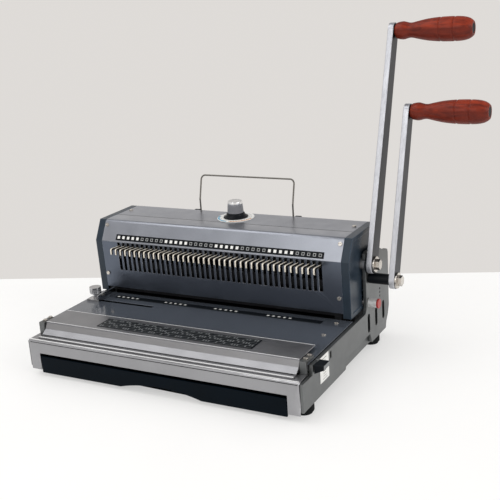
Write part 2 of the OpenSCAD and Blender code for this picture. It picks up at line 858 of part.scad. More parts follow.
// turned grip along X, collar at the lever end and a cup for the spindle's cap in its tail
module grip(y, z, x0) {
  m = grip_d / 2;
  n = grip_neck_d / 2;
  c = grip_collar_d / 2;
  l = grip_len;
  hole = grip_rod_d / 2 + run_gap;
  cup = grip_end_d / 2 - 2.5 + 0.4;
  deep = l - grip_cap - grip_play;
  swell = m - n;
  tail = grip_end_d / 2;
  bulb = m - tail;
  translate([x0, y, z]) rotate([0, 90, 0]) rotate_extrude() polygon([
    [hole, 0], [c * 0.7, 0], [c * 0.83, l * 0.012], [c * 0.91, l * 0.03], [c * 0.98, l * 0.07],
    [c, l * 0.105], [n + (c - n) * 0.6, l * 0.14], [n + (c - n) * 0.15, l * 0.175], [n, l * 0.2],
    [n + swell * 0.06, l * 0.235], [n + swell * 0.23, l * 0.28], [n + swell * 0.46, l * 0.345],
    [n + swell * 0.66, l * 0.41], [n + swell * 0.8, l * 0.48], [n + swell * 0.91, l * 0.548],
    [n + swell * 0.945, l * 0.581], [n + swell * 0.86, l * 0.589], [n + swell * 0.96, l * 0.597],
    [m, l * 0.685], [n + swell * 0.975, l * 0.759], [n + swell * 0.885, l * 0.767],
    [n + swell * 0.965, l * 0.775], [tail + bulb * 0.93, l * 0.83], [tail + bulb * 0.776, l * 0.89],
    [tail + bulb * 0.48, l * 0.945], [tail + bulb * 0.2, l * 0.98], [tail, l], [cup, l], [cup, deep],
    [hole, deep]
  ]);
}

module punch_grip() {
  color(wood) placed() grip(punch_grip_y, punch_grip_z, punch_face + grip_play);
}

module punch_ram() {
  y0 = hole_y - 6;
  y1 = hole_y + 6;
  low = ecc_z - ecc_r - pass_gap;
  high = ecc_z + ecc_r + pass_gap;
  near = shaft_y - ecc_e - ecc_r - 1.2;
  far = ecc_y + ecc_r + 1.5;
  color(steel) placed() difference() {
    union() {
      block([-frame_in + 6, y0, beam_low], [frame_in - 6, y1, beam_top]);
      block([-rod_x + 8, y0 + 1, plate_low], [rod_x - 8, y1 - 1, beam_low + e]);
      both() block([ecc_x - yoke_w / 2, hole_y + 1, low - 9], [ecc_x + yoke_w / 2, far + 6, high + 9]);
    }
    both() block([ecc_x - yoke_w, near, low], [ecc_x + yoke_w, far, high]);
    both() post(rod_x, hole_y, rod_d + 2 * run_gap, plate_low - 1, beam_top + 1);
    each_hole() block([-pin_side / 2, hole_y - pin_side / 2, plate_low - 1],
      [pin_side / 2, hole_y + pin_side / 2, beam_low]);
  }
}

module punch_pins() {
  h = pin_side / 2;
  color(steel) placed() each_hole() block([-h, hole_y - h, pin_low], [h, hole_y + h, beam_low]);
}

module closing_shaft() {
  color(steel) placed() bar(close_y, close_z, spigot_d, frame_in - 4, close_face);
}

module closing_cam() {
  color(steel) placed() difference() {
    union() {
      bar(close_y, close_z, 2 * cam_hub_r, rock_x, rock_x + rock_t);
      bar(close_y - lobe_d * cos(lobe_angle), close_z - lobe_d * sin(lobe_angle), 2 * lobe_r,
        rock_x, rock_x + rock_t);
    }
    bar(close_y, close_z, spigot_d, rock_x - 1, rock_x + rock_t + 1);
  }
}

module closing_sleeve() {
  color(black) placed() ring(close_y, close_z, sleeve_d, spigot_d, half_w + 0.5, close_in);
}

module closing_arm() {
  color(steel) placed() lever(close_y, close_z, close_lean, close_len, close_foot_w, close_head_w, close_in);
}

module closing_bolt() {
  color(nickel) placed() lever_bolt(close_y, close_z, close_face);
}

module closing_spindle() {
  color(black) placed() grip_spindle(close_grip_y, close_grip_z, close_in);
}

module closing_grip() {
  color(wood) placed() grip(close_grip_y, close_grip_z, close_face + grip_play);
}

module press_bar() {
  top = cover_z - sheet_t;
  color(silver) placed() slab([
    [bar_y, top], [bar_y - 3.2, cover_z - bar_brow], [bar_y - bar_lip, tip_z], [bar_y - 4, tip_z],
    [arm_y, tip_z + 6], [arm_y, top]
  ], -bar_x, bar_x);
}

module closer_cover() {
  color(silver) placed() block([-bar_x, bar_y, cover_z - sheet_t], [bar_x, bar_y + cover_d, cover_z]);
}

module chart_strip() {
  color(black) placed() block([chart_left - bar_x, bar_y + chart_front, cover_z],
    [bar_x - chart_right, bar_y + cover_d - chart_rear, cover_z + 0.5]);
}

module closer_arms() {
  low = rock_z - 4;
  top = rock_z + 7;
  front = [[arm_y, low], [arm_y, top], [-rock_y - 8, top]];
  color(steel) placed() difference() {
    union() {
      both() {
        slab(concat(front, [[12 - rock_y, top], [12 - rock_y, rock_z - 9], [-rock_y - 10, rock_z - 9]]),
          rock_x, rock_x + rock_t);
        block([bar_x - 8, arm_y, low], [rock_x + rock_t, arm_y + 12, top]);
        block([bar_x - 8, arm_y, top - e], [bar_x - 1, arm_y + 12, cover_z - sheet_t]);
      }
      slab([
        [4 - rock_y, top], [close_y - 22, pad_z - 12], [close_y - 22, pad_z], [close_y + 6, pad_z],
        [close_y + 6, pad_z - 8], [close_y - 8, pad_z - 11], [12 - rock_y, rock_z - 9],
        [4 - rock_y, rock_z - 9]
      ], rock_x, rock_x + rock_t);
    }
    both() bar(-rock_y, rock_z, rock_pin_d + 2 * run_gap, rock_x - 1, rock_x + rock_t + 1);
  }
}

module chip_drawer() {
  w = drawer_w / 2 - drawer_gap;
  low = pan_top + 0.7;
  top = drawer_top - drawer_drop;
  notch_r = (notch_w * notch_w / 4 + notch_h * notch_h) / (2 * notch_h);
  color(black) placed() {
    difference() {
      block([-w, yf, drawer_low], [w, yf + 3, top]);
      translate([notch_x, yf + 4, drawer_low + notch_h - notch_r]) rotate([90, 0, 0])
        cylinder(h = 5, r = notch_r, $fn = 96);
    }
    difference() {
      block([4 - w, yf + 3 - e, low], [w - 4, yf + drawer_len, top - 1]);
      block([4 - w + drawer_wall, yf + 3 + drawer_wall, low + drawer_wall],
        [w - 4 - drawer_wall, yf + drawer_len - drawer_wall, top]);
    }
  }
}

module dial_spindle() {
  color(steel) placed() {
    post(0, dial_y, dial_rod_d, arm_low - hook_travel - 2, tower_top + dial_t + 7);
    post(0, dial_y, dial_rod_d + 6, tower_top - sheet_t - 3.3, tower_top - sheet_t - 0.3);
  }
}

module dial_skirt() {
  low = tower_top + dial_t + 0.4;
  color(black) placed() translate([0, dial_y, low]) rotate_extrude() polygon([
    [dial_rod_d / 2, 0], [skirt_d / 2, 0], [skirt_d / 2, 1], [skirt_d / 2 - 3, 2.2], [knob_d / 2 + 2, 4.2],
    [knob_d / 2 + 1, 6.6], [dial_rod_d / 2, 6.6]
  ]);
}

module dial_knob() {
  low = tower_top + dial_t + 7;
  color(steel) placed() translate([0, dial_y, low]) rotate_extrude() polygon([
    [0, 0], [knob_d / 2, 0], [knob_d / 2 - 1, knob_h - 1.5], [knob_d / 2 - 2, knob_h], [0, knob_h]
  ]);
}

module hook_bar() {
  front = -low_y + sheet_t + 0.5;
  color(steel) placed() difference() {
    union() {
      block([-frame_in + 8, front, bar_low], [frame_in - 8, front + 7, bar_top]);
      both() block([rod_x - 6, front + 6, bar_low], [frame_in - 8, hole_y + 7, bar_top]);
      slab([
        [front + 6, bar_low], [6, bar_low], [6, arm_low], [dial_y + 8, arm_low], [dial_y + 8, arm_low + 6],
        [-1, arm_low + 6], [-1, bar_top], [front + 6, bar_top]
      ], -8, 8);
    }
    both() post(rod_x, hole_y, rod_d + 2 * run_gap, bar_low - 1, bar_top + 1);
    post(0, dial_y, dial_rod_d + 2 * run_gap, arm_low - 1, arm_low + 7);
  }
}

module wire_hooks() {
  front = -low_y + sheet_t + 0.5;
  end = -crease_y - hook_reach;
  t = hook_top - hook_drop;
  color(cream) placed() each_hole() slab([
    [front, t], [-crease_y + 1, t], [end + 3.5, t + 1.6], [end + 1, t + 1.1], [end, t - 0.4],
    [end, t - hook_tip], [end + 2.5, t - hook_tip], [end + 2.5, t - 2], [end + 4.5, t - 1.4],
    [-crease_y + 1, t - 3], [front, t - 3]
  ], -hook_t / 2, hook_t / 2);
}

module guide_bracket() {
  x = -guide_x;
  y = -guide_y;
  color(steel) placed() difference() {
    union() {
      block([x - 11, y - 9, deck_z], [x + 11, y + 11, deck_z + 3]);
      block([x + 9, y - 9, deck_z + 3 - e], [x + 11, -low_y - 1.5, deck_z + 10]);
    }
    post(x, y, guide_stem_d + 2 * run_gap, deck_z - 1, deck_z + 4);
  }
}

module guide_nut() {
  color(steel) placed() difference() {
    block([-guide_x - 8, -guide_y - 7, deck_z - sheet_t - 5],
      [8 - guide_x, 7 - guide_y, deck_z - sheet_t - 0.3]);
    post(-guide_x, -guide_y, guide_stem_d + 2 * run_gap, deck_z - 10, deck_z);
  }
}

module guide_thumbscrew() {
  color(nickel) placed() {
    post(-guide_x, -guide_y, guide_stem_d, deck_z - sheet_t - 7, head_z + e);
    post(-guide_x, -guide_y, guide_stem_d + 2.5, deck_z + 3 + run_gap, head_z + e);
    difference() {
      post(-guide_x, -guide_y, guide_head_d, head_z, head_z + guide_head_h);
      for (i = [0 : 17]) translate([-guide_x, -guide_y, 0]) rotate([0, 0, 20 * i])
        post(guide_head_d / 2 + 0.6, 0, 2.4, head_z + 1.5, head_z + guide_head_h - 1.5);
    }
  }
}

module wire_rack() {
  x = rack_w / 2;
  bend = 7;
  rise = (rack_h - rack_foot) / cos(rack_lean);
  color(steel) placed() {
    both() {
      bar(rack_y, rack_z, rack_d - 0.4, x, x + rack_d / 2 + 6);
      post(x, rack_y, rack_d, rack_z - rack_d / 2, rack_z + rack_foot);
      translate([x, rack_y, rack_z + rack_foot]) sphere(d = rack_d + 0.5);
    }
    translate([0, rack_y, rack_z + rack_foot]) rotate([-rack_lean, 0, 0]) {
      both() {
        post(x, 0, rack_d, -0.6, rise - bend);
        translate([x - bend, 0, rise - bend]) rotate([90, 0, 0]) rotate_extrude(angle = 90)
          translate([bend, 0]) circle(d = rack_d);
      }
      bar(0, rise, rack_d, bend - x, x - bend);
    }
  }
}

module selector_knob() {
  x0 = half_w + 1.5;
  top = selector_z + selector_h - 4.5;
  color(black) placed() translate([0, selector_d / 2 - selector_y, 0]) rotate([90, 0, 0])
    linear_extrude(selector_d) polygon([
      [x0, selector_z - 4.5], [x0, top], [x0 + selector_len, top], [x0 + selector_len, top - selector_end]
    ]);
}

module selector_cam() {
  x0 = rock_x + rock_t + 0.9;
  color(steel) placed() {
    bar(-selector_y, selector_z, 8, x0, half_w + 1.5);
    bar(-selector_y, selector_z - 1.2, 11, x0, side_in - 0.6);
  }
}

module release_rod() {
  x0 = rock_x - 0.4;
  color(steel) placed() {
    bar(release_y, release_z, release_d, x0, half_w + release_len - tip_len);
    bar(release_y, release_z, release_d + 2.5, x0, x0 + 2.4);
  }
}

module rod_tip() {
  x1 = half_w + release_len;
  color(red) placed() bar(release_y, release_z, release_d + 1, x1 - tip_len, x1);
}

base_pan();
left_side_plate();
right_side_plate();
front_fascia();
rear_panel();
deck_plate();
deck_strip();
feet();
end_frames();
frame_brackets();
die_plate();
die_spacer();
stripper_plate();
guide_rods();
shaft_bushes();
tower_front_panel();
tower_rear_cover();
left_cap();
right_cap();
index_strip();
case_screws();
dial_plate();
rack_clips();
jaw_strip();
end_blocks();
scale_plate();
punch_shaft();
punch_eccentrics();
punch_hub();
punch_arm();
punch_bolt();
punch_spindle();
punch_grip();
punch_ram();
punch_pins();
closing_shaft();
closing_cam();
closing_sleeve();
closing_arm();
closing_bolt();
closing_spindle();
closing_grip();
press_bar();
closer_cover();
chart_strip();
closer_arms();
chip_drawer();
dial_spindle();
dial_skirt();
dial_knob();
hook_bar();
wire_hooks();
guide_bracket();
guide_nut();
guide_thumbscrew();
wire_rack();
selector_knob();
selector_cam();
release_rod();
rod_tip();
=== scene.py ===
"""Dresses a packed wire binding machine: finishes, turned grips, dial, printed marks and stage."""

import math

import bmesh
import bpy
from bpy.props import FloatProperty, FloatVectorProperty, IntProperty, PointerProperty
from mathutils import Matrix, Vector


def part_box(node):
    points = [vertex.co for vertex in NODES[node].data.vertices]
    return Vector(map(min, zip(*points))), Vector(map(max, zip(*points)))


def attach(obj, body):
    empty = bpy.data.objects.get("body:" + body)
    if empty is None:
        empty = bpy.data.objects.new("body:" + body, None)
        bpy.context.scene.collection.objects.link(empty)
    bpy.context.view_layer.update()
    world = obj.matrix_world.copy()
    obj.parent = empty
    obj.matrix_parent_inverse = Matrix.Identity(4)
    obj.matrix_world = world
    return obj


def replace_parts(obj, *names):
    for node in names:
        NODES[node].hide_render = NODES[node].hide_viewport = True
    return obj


bl_info = {
    "name": "Wire Binding Machine",
    "version": (1, 0, 0),
    "blender": (4, 5, 0),
    "location": "View3D > Sidebar > Binder",
    "description": "Finishes, turned grips, printed marks and stage for a packed wire binding machine",
    "category": "Object",
}

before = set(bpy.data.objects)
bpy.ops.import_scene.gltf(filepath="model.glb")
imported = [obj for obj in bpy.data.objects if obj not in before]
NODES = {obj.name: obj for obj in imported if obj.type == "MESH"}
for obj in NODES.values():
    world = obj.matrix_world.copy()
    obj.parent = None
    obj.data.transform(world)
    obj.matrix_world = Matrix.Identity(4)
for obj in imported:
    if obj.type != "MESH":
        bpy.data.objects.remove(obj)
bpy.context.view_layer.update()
MM = 0.001
ALONG_X = Vector((1, 0, 0))
FORWARDS = Vector((0, -1, 0))
UPWARDS = Vector((0, 0, 1))

# How near points are that count as one corner, as one flat face, as on a bend or as on a crease
SAME_CORNER = 0.001 * MM
SAME_FACE = 0.02 * MM
ON_BEND = 0.05 * MM
ON_CREASE = 0.01 * MM

# Angles between faces: still flat, sharp enough to round, sharp enough to shade as an edge
FLAT_ANGLE = math.radians(0.5)
EDGE_ANGLE = math.radians(20)
SHARP_ANGLE = math.radians(34)

# Steps round a turned piece, along a grip and round the floor
TURNED_STEPS = 72
GRIP_STEPS = 150
FLOOR_STEPS = 128

# Outline of a grip from its collar to its tail: share of the length, share of the largest radius
GRIP_OUTLINE = (
    (0, 0.517), (0.012, 0.613), (0.03, 0.672), (0.07, 0.724), (0.105, 0.738), (0.14, 0.69), (0.17, 0.638),
    (0.2, 0.615), (0.235, 0.638), (0.28, 0.704), (0.41, 0.87), (0.548, 0.965), (0.685, 1.0),
    (0.775, 0.995), (0.83, 0.98), (0.89, 0.935), (0.945, 0.835), (0.98, 0.7), (1.0, 0.58),
)
GRIP_RINGS = (0.589, 0.767)

# Lamps: name, setting of the power, side and place in metres; all look at one point
LAMPS = (
    ("key_lamp", "key_power", 1.6, (-1.0, -0.35, 1.95)),
    ("front_lamp", "front_power", 1.0, (-0.3, -1.7, 1.35)),
    ("right_lamp", "right_power", 1.2, (1.9, -0.2, 1.1)),
)
LAMP_AIM = Vector((0, 0, 0.1))


def colour(name, description, default):
    """Colour property in scene-linear values."""
    return FloatVectorProperty(
        name=name, description=description, default=default, subtype="COLOR", size=3, min=0, max=1
    )


def length(name, description, millimetres):
    """Length property, given in millimetres and kept in metres."""
    return FloatProperty(
        name=name, description=description, default=millimetres * MM, min=0, unit="LENGTH", precision=5
    )


def count(name, description, default, least=1):
    """Whole number property."""
    return IntProperty(name=name, description=description, default=default, min=least)


def power(name, description, watts):
    """Lamp power property in watts."""
    return FloatProperty(name=name, description=description, default=watts, min=0, unit="POWER")


class BinderColours(bpy.types.PropertyGroup):
    """Colours of the machine's finishes."""

    casing: colour("Casing paint", "Metallic grey of the tower", (0.385, 0.402, 0.445))
    # Painted shade: the tower's upright faces take this darker colour in place of the shade on them.
    casing_painted_shade: colour("Casing, steep", "Deeper tone of the tower's upright faces", (0.12, 0.138, 0.174))
    side: colour("Side paint", "Grey of the side plates, the pan and the rear panel", (0.14, 0.146, 0.147))
    deck: colour("Deck paint", "Glossy dark grey of the deck", (0.079, 0.091, 0.112))
    silver: colour("Silver front", "Paint of fascia, press bar, cover and jaw strip", (0.328, 0.328, 0.34))
    # Painted highlight: this colour also paints the bright lines along the cover, jaw strip and ledge,
    # besides the release rod's steel.
    bright: colour("Bright steel", "Polished edge lines of the front and release rod", (0.88, 0.88, 0.88))
    cap: colour("End caps", "Dark blue-grey of the moulded end caps", (0.019, 0.03, 0.044))
    steel: colour("Machined steel", "Pins, rods, shafts and side guide", (0.52, 0.52, 0.53))
    lever: colour("Lever edges", "Bright ground edges of the two levers", (0.60, 0.61, 0.645))
    # Painted shade: the levers' flat sides take this dark colour in place of the shade on them.
    lever_flat_shade: colour("Lever flats", "Dark rolled flats of the two levers", (0.05, 0.053, 0.059))
    oxide: colour("Black oxide", "Blackened steel of the pieces inside the tower", (0.030, 0.031, 0.034))
    wire: colour("Rack wire", "Grey plating of the wire rack", (0.2, 0.187, 0.17))
    bronze: colour("Bronze", "Shaft bushes", (0.42, 0.25, 0.09))
    nickel: colour("Nickel", "Screws and bolts", (0.64, 0.60, 0.55))
    black: colour("Black plastic", "Strips, hub, sleeve and block knob", (0.004, 0.0055, 0.0075))
    drawer: colour("Drawer", "Blue-black of the chip drawer and the grips' ends", (0.001, 0.0035, 0.0065))
    rubber: colour("Rubber", "Feet", (0.004, 0.0048, 0.0052))
    white: colour("White plate", "Dial ring, side plate and filled index squares", (0.80, 0.80, 0.78))
    knob: colour("Knob grey", "Dial knob", (0.17, 0.174, 0.192))
    band: colour("Knob band", "Silver band round the top of the dial knob", (0.86, 0.86, 0.86))
    hook: colour("Hooks", "Pale zinc of the wire hooks", (0.86, 0.80, 0.69))
    # Painted shade: the hooks' flat sides take this dark colour in place of the shade between them.
    hook_flat_shade: colour("Hook flats", "Dark flat sides of the hooks", (0.02, 0.017, 0.014))
    wood: colour("Wood", "Red-brown varnished wood of the grips", (0.26, 0.031, 0.011))
    wood_dark: colour("Wood grain", "Dark grain of the grips", (0.06, 0.009, 0.006))
    red: colour("Red tip", "Plastic tip of the release rod", (0.36, 0.032, 0.03))
    square_grey: colour("Square grey", "Outlines of the open index squares", (0.36, 0.37, 0.37))
    print_grey: colour("Grey print", "Bars of the chart and end of the block knob", (0.16, 0.17, 0.175))
    print_blue: colour("Blue print", "Blue half of the dial marks", (0.05, 0.33, 0.52))
    print_orange: colour("Orange print", "Orange half of the dial marks", (0.62, 0.26, 0.06))


class BinderSizes(bpy.types.PropertyGroup):
    """Sizes of the details that the scene adds."""

    print_height: length("Print height", "Height of printed marks above their face", 0.08)
    hole_pitch: length("Hole pitch", "Distance from hole to hole", 8.467)
    strip_margin: length("Strip margin", "Distance of the index marks from the ends of their strip", 1.0)
    square: length("Index square", "Side of an index square", 4.3)
    square_line: length("Square line", "Line width of an open index square", 0.75)
    group: count("Index group", "Squares in a filled or an open group", 5)
    deck_mark_width: length("Deck mark width", "Width of a mark on the deck strip", 3.655)
    deck_mark_height: length("Deck mark height", "Height of a mark on the deck strip", 3.01)
    # Painted highlight: widths of the bright lines printed where the front's edges catch the light.
    highlight_line: length("Edge line", "Width of the bright lines along the cover", 1.0)
    wide_highlight_line: length("Wide edge line", "Width of the bright lines along jaw strip and ledge", 2.6)
    # Painted shade: the dark filling stands in for the shade in the fascia's groove.
    groove: length("Groove", "Width of the dark filling in the fascia's groove", 1.18)
    groove_drop: length("Groove drop", "Distance of the fascia's groove from its top edge", 3.4)
    groove_floor: length("Groove floor", "Depth of the dark filling in the fascia's groove", 0.35)
    groove_end: length("Groove end", "Distance of the dark filling from the fascia's ends", 2.0)
    dial_margin: length("Dial margin", "Distance of the coloured arcs from the ring's rim", 0.8)
    dial_arc: length("Dial arc", "Width of the coloured arcs on the dial's ring", 2.2)
    tick_long: length("Long tick", "Length of every fifth tick on the dial's ring", 3.2)
    tick_short: length("Short tick", "Length of the other ticks on the dial's ring", 1.8)
    tick_width: length("Tick width", "Width of the ticks on the dial's ring", 0.6)
    tick_gap: length("Tick gap", "Distance of the ticks from the coloured arcs", 0.4)
    seam_line: length("Seam line", "Width of the seam across the tower's top", 0.7)
    chart_line: length("Chart line", "Line width of the chart's rows", 0.3)
    chart_side: length("Chart side", "Distance of the chart from the ends of its strip", 2.0)
    chart_end: length("Chart end", "Distance of the chart from the long edges of its strip", 1.5)
    chart_rows: count("Chart rows", "Rows of the chart", 5)
    chart_columns: count("Chart columns", "Columns of the chart", 62)
    scale_line: length("Scale line", "Width of the ticks on the white side plate", 0.5)
    knob_margin: length("Knob margin", "Bare rim round the end of the block knob", 0.5)
    grip_bore: length("Grip bore", "Radius of the bore through the grips", 4.06)
    cup_depth: length("Cup depth", "Depth of the cup for the end cap in the grips' tails", 3.5)
    cup_gap: length("Cup gap", "Clearance round the end cap in its cup", 0.4)
    ring_depth: length("Ring depth", "Depth of the rings cut in the grips", 0.9)
    ring_width: length("Ring width", "Width of the rings cut in the grips", 1.8)
    knob_taper: length("Knob taper", "Draft of the dial knob from foot to top", 0.9)
    knob_band: length("Knob band", "Height of the silver band round the top of the dial knob", 4.6)
    flute_depth: length("Flute depth", "Depth of the flutes on the dial knob", 0.22)
    flutes: count("Flutes", "Flutes round the dial knob", 36, least=3)
    soft_edge: length("Soft edge", "Rounding of the right end cap and the feet", 1.2)
    sheet_edge: length("Sheet edge", "Rounding of sheet metal and small mouldings", 0.5)
    bar_edge: length("Lever edge", "Rounding of the levers' edges", 0.9)
    fine_edge: length("Fine edge", "Rounding of screws, hooks and thin plates", 0.18)
    front_bend: length("Front bend", "Rounding of the bend at the fascia's top edge", 1.4)
    tower_bend: length("Tower bend", "Rounding of the bend at the tower's top front edge", 3.4)
    wire_draw: length("Wire draw", "Depth by which the rack's wire is thinner than its solid", 0.4)


class BinderStage(bpy.types.PropertyGroup):
    """Floor, lamps and camera."""

    floor: colour("Floor", "Pale floor", (0.955, 0.952, 0.945))
    backdrop: colour("Backdrop", "Pale tone beyond the floor's far edge", (0.735, 0.71, 0.685))
    zenith: colour("Zenith", "Dimmer tone of the backdrop overhead", (0.30, 0.30, 0.31))
    floor_radius: length("Floor radius", "Radius of the floor disc", 6000)
    floor_depth: length("Floor depth", "Distance from the machine's middle to the floor's far edge", 354)
    floor_turn: FloatProperty(
        name="Floor turn", description="Turn of the floor's far edge",
        default=math.radians(19.2), subtype="ANGLE",
    )
    floor_glow: FloatProperty(
        name="Floor glow", description="Share of the floor's tone that shadows leave",
        default=0.5, min=0, max=1, subtype="FACTOR",
    )
    sky: FloatProperty(name="Sky", description="Strength of the soft light all round", default=0.8, min=0)
    sky_tint: colour("Sky tint", "Colour of the soft light all round", (1.0, 0.985, 0.965))
    key_power: power("Key lamp", "Power of the lamp overhead", 11.5)
    front_power: power("Front lamp", "Power of the lamp in front", 5)
    right_power: power("Right lamp", "Power of the lamp at the right", 10)
    camera_place: FloatVectorProperty(
        name="Camera place", description="Place of the camera",
        default=(0.56326, -1.04321, 0.5151), subtype="XYZ", unit="LENGTH",
    )
    camera_turn: FloatVectorProperty(
        name="Camera turn", description="Yaw towards -X, pitch and roll of the camera",
        default=(math.radians(28.97), math.radians(-16.78), math.radians(-3.92)), subtype="EULER",
    )
    camera_lens: FloatProperty(
        name="Lens", description="Focal length on a 36 mm sensor, in millimetres", default=64.66, min=1
    )


class NodeTree:
    """Node tree of a finish or of the world, with short ways to add the nodes that they share."""

    def __init__(self, owner):
        owner.use_nodes = True
        self.tree = owner.node_tree
        self.tree.nodes.clear()

    def add(self, kind, inputs=None, **settings):
        """Adds a node, sets its options, and feeds its inputs with values or other nodes' outputs."""
        node = self.tree.nodes.new(kind)
        for option, value in settings.items():
            setattr(node, option, value)
        for socket, value in (inputs or {}).items():
            self.feed(node.inputs[socket], value)
        return node

    def feed(self, socket, value):
        """Links an output to a socket, or sets the socket's own value."""
        if isinstance(value, bpy.types.NodeSocket):
            self.tree.links.new(value, socket)
        else:
            socket.default_value = value

    def reckon(self, operation, *values):
        """Result of a sum on one or two values."""
        return self.add("ShaderNodeMath", dict(enumerate(values)), operation=operation).outputs[0]

    def dot(self, first, second):
        """How far two directions agree: 1 when they are the same, 0 when they are square."""
        made = self.add("ShaderNodeVectorMath", {0: first, 1: second}, operation="DOT_PRODUCT")
        return made.outputs["Value"]

    def position(self, stretch=(1, 1, 1)):
        """Place on the piece in metres, stretched along its axes."""
        where = self.add("ShaderNodeTexCoord").outputs["Object"]
        return self.add("ShaderNodeMapping", {"Vector": where, "Scale": stretch}).outputs["Vector"]

    def noise(self, where, size, detail=3.0, distortion=0.0):
        """Soft noise with patches of about that size in metres."""
        shape = {"Detail": detail, "Roughness": 0.55, "Distortion": distortion}
        return self.add("ShaderNodeTexNoise", {"Vector": where, "Scale": 1 / size, **shape}).outputs["Fac"]

    def ranged(self, value, low, high, start=0.3, end=0.7):
        """Turns the start to end range of a value into low to high."""
        limits = {"From Min": start, "From Max": end, "To Min": low, "To Max": high}
        return self.add("ShaderNodeMapRange", {"Value": value, **limits}).outputs["Result"]

    def shade(self, share, first, second):
        """Colour between two shades; 6 and 7 are a mix node's colour sockets and 2 is its colour output."""
        return self.add("ShaderNodeMix", {"Factor": share, 6: first, 7: second}, data_type="RGBA").outputs[2]

    def toned(self, value, rgb, low, high):
        """The colour times low to high, as a value goes through its range."""
        return self.shade(self.ranged(value, 0, 1), shaded(rgb, low), shaded(rgb, high))

    def facing(self, direction):
        """1 on faces that look along a direction of the piece or against it, 0 on faces across it."""
        normal = self.add("ShaderNodeTexCoord").outputs["Normal"]
        return self.ranged(self.reckon("ABSOLUTE", self.dot(normal, direction)), 0, 1, 0.6, 0.9)

    def upward(self):
        """1 on faces that look upwards, 0 on faces that look level or down."""
        normal = self.add("ShaderNodeTexCoord").outputs["Normal"]
        return self.ranged(self.add("ShaderNodeSeparateXYZ", {0: normal}).outputs["Z"], 0, 1, 0.1, 0.4)

    def seen(self):
        """1 where the camera, a gloss or a glass sees the surface, 0 for the light that it throws."""
        rays = self.add("ShaderNodeLightPath").outputs
        first = self.reckon("MAXIMUM", rays["Is Camera Ray"], rays["Is Glossy Ray"])
        return self.reckon("MAXIMUM", first, rays["Is Transmission Ray"])

    def edges(self, radius):
        """Normal rounded over the edges, and a mask that is 1 on the edges and 0 on the flats."""
        rounded = self.add("ShaderNodeBevel", {"Radius": radius}, samples=4).outputs["Normal"]
        flat = self.add("ShaderNodeNewGeometry").outputs["True Normal"]
        return rounded, self.ranged(self.dot(rounded, flat), 1.0, 0.0, start=0.80, end=0.985)

    def bump(self, height, depth, normal):
        """Normal roughened by a height, depth metres deep."""
        relief = {"Height": height, "Distance": depth, "Strength": 1.0, "Normal": normal}
        return self.add("ShaderNodeBump", relief).outputs["Normal"]


class FinishTree(NodeTree):
    """Node tree of one finish, round one shader."""

    def __init__(self, name):
        self.material = bpy.data.materials.new(name)
        super().__init__(self.material)
        self.shader = self.add("ShaderNodeBsdfPrincipled")
        self.add("ShaderNodeOutputMaterial", {"Surface": self.shader.outputs["BSDF"]})

    def set(self, **values):
        """Feeds the shader's sockets; an underscore stands for the space in a socket's name."""
        for name, value in values.items():
            self.feed(self.shader.inputs[name.replace("_", " ")], value)


def shaded(rgb, factor=1.0):
    """The colour made darker or lighter, as a node colour."""
    return tuple(min(1.0, c * factor) for c in rgb) + (1.0,)


def sheet_paint(name, rgb, roughness, metallic, coat, bend=0.8 * MM, painted_shade_rgb=None):
    """Sprayed metallic paint: flake, slow drift, orange peel, worn edges, and painted shade on faces that do
    not look up.
    """
    t = FinishTree(name)
    where = t.position()
    drift = t.noise(where, 70 * MM, 4)
    flake = t.noise(where, 1.2 * MM, 1)
    rounded, edge = t.edges(bend)
    tone = t.toned(drift, rgb, 0.92, 1.07)
    tone = t.shade(t.ranged(flake, 0, 0.2, 0.5, 0.8), tone, shaded(rgb, 1.35))
    # Painted shade: faces that do not look up take the darker colour.
    if painted_shade_rgb:
        tone = t.shade(t.upward(), shaded(painted_shade_rgb), tone)
    worn = t.reckon("MULTIPLY", edge, t.ranged(t.noise(where, 12 * MM, 5), 0.1, 0.75))
    t.set(
        Base_Color=t.shade(worn, tone, shaded(rgb, 2.1)),
        Metallic=metallic,
        Roughness=t.ranged(t.noise(where, 20 * MM, 5), roughness, roughness + 0.09),
        Coat_Weight=coat,
        Coat_Roughness=0.08,
        Normal=t.bump(t.noise(where, 6 * MM, 2), 0.006 * MM, rounded),
    )
    return t.material


def brushed_metal(name, rgb, roughness, stretch, metallic=1.0):
    """Metal brushed along one direction: long fine streaks in tone, gloss and height."""
    t = FinishTree(name)
    streaks = t.noise(t.position(stretch), 2.2 * MM, 4)
    smudge = t.noise(t.position(), 35 * MM, 4)
    rounded, edge = t.edges(0.6 * MM)
    tone = t.toned(streaks, rgb, 0.86, 1.1)
    worn = t.reckon("MULTIPLY", edge, t.ranged(smudge, 0.15, 0.6))
    t.set(
        Base_Color=t.shade(worn, tone, shaded(rgb, 1.5)),
        Metallic=metallic,
        Roughness=t.ranged(smudge, roughness - 0.05, roughness + 0.09),
        Normal=t.bump(streaks, 0.015 * MM, rounded),
    )
    return t.material


def flat_bar(name, flats, ground, metallic=0.9):
    """Flat steel bar: flat sides darkened as painted shade, bright ground edges, grinding lines along the
    length.
    """
    t = FinishTree(name)
    lines = t.noise(t.position((1, 1, 0.02)), 2.2 * MM, 4)
    scale = t.noise(t.position((1, 1, 0.3)), 18 * MM, 5)
    rounded, edge = t.edges(1.2 * MM)
    # Painted shade: faces along X, the flat sides, take the dark colour and the others the bright one.
    side = t.toned(scale, flats, 0.8, 1.25)
    front = t.toned(lines, ground, 0.9, 1.08)
    tone = t.shade(t.facing(ALONG_X), front, side)
    worn = t.reckon("MULTIPLY", edge, t.ranged(scale, 0.2, 0.7))
    t.set(
        Base_Color=t.shade(worn, tone, shaded(ground, 1.1)),
        Metallic=metallic,
        Roughness=t.ranged(scale, 0.34, 0.48),
        Normal=t.bump(lines, 0.012 * MM, rounded),
    )
    return t.material


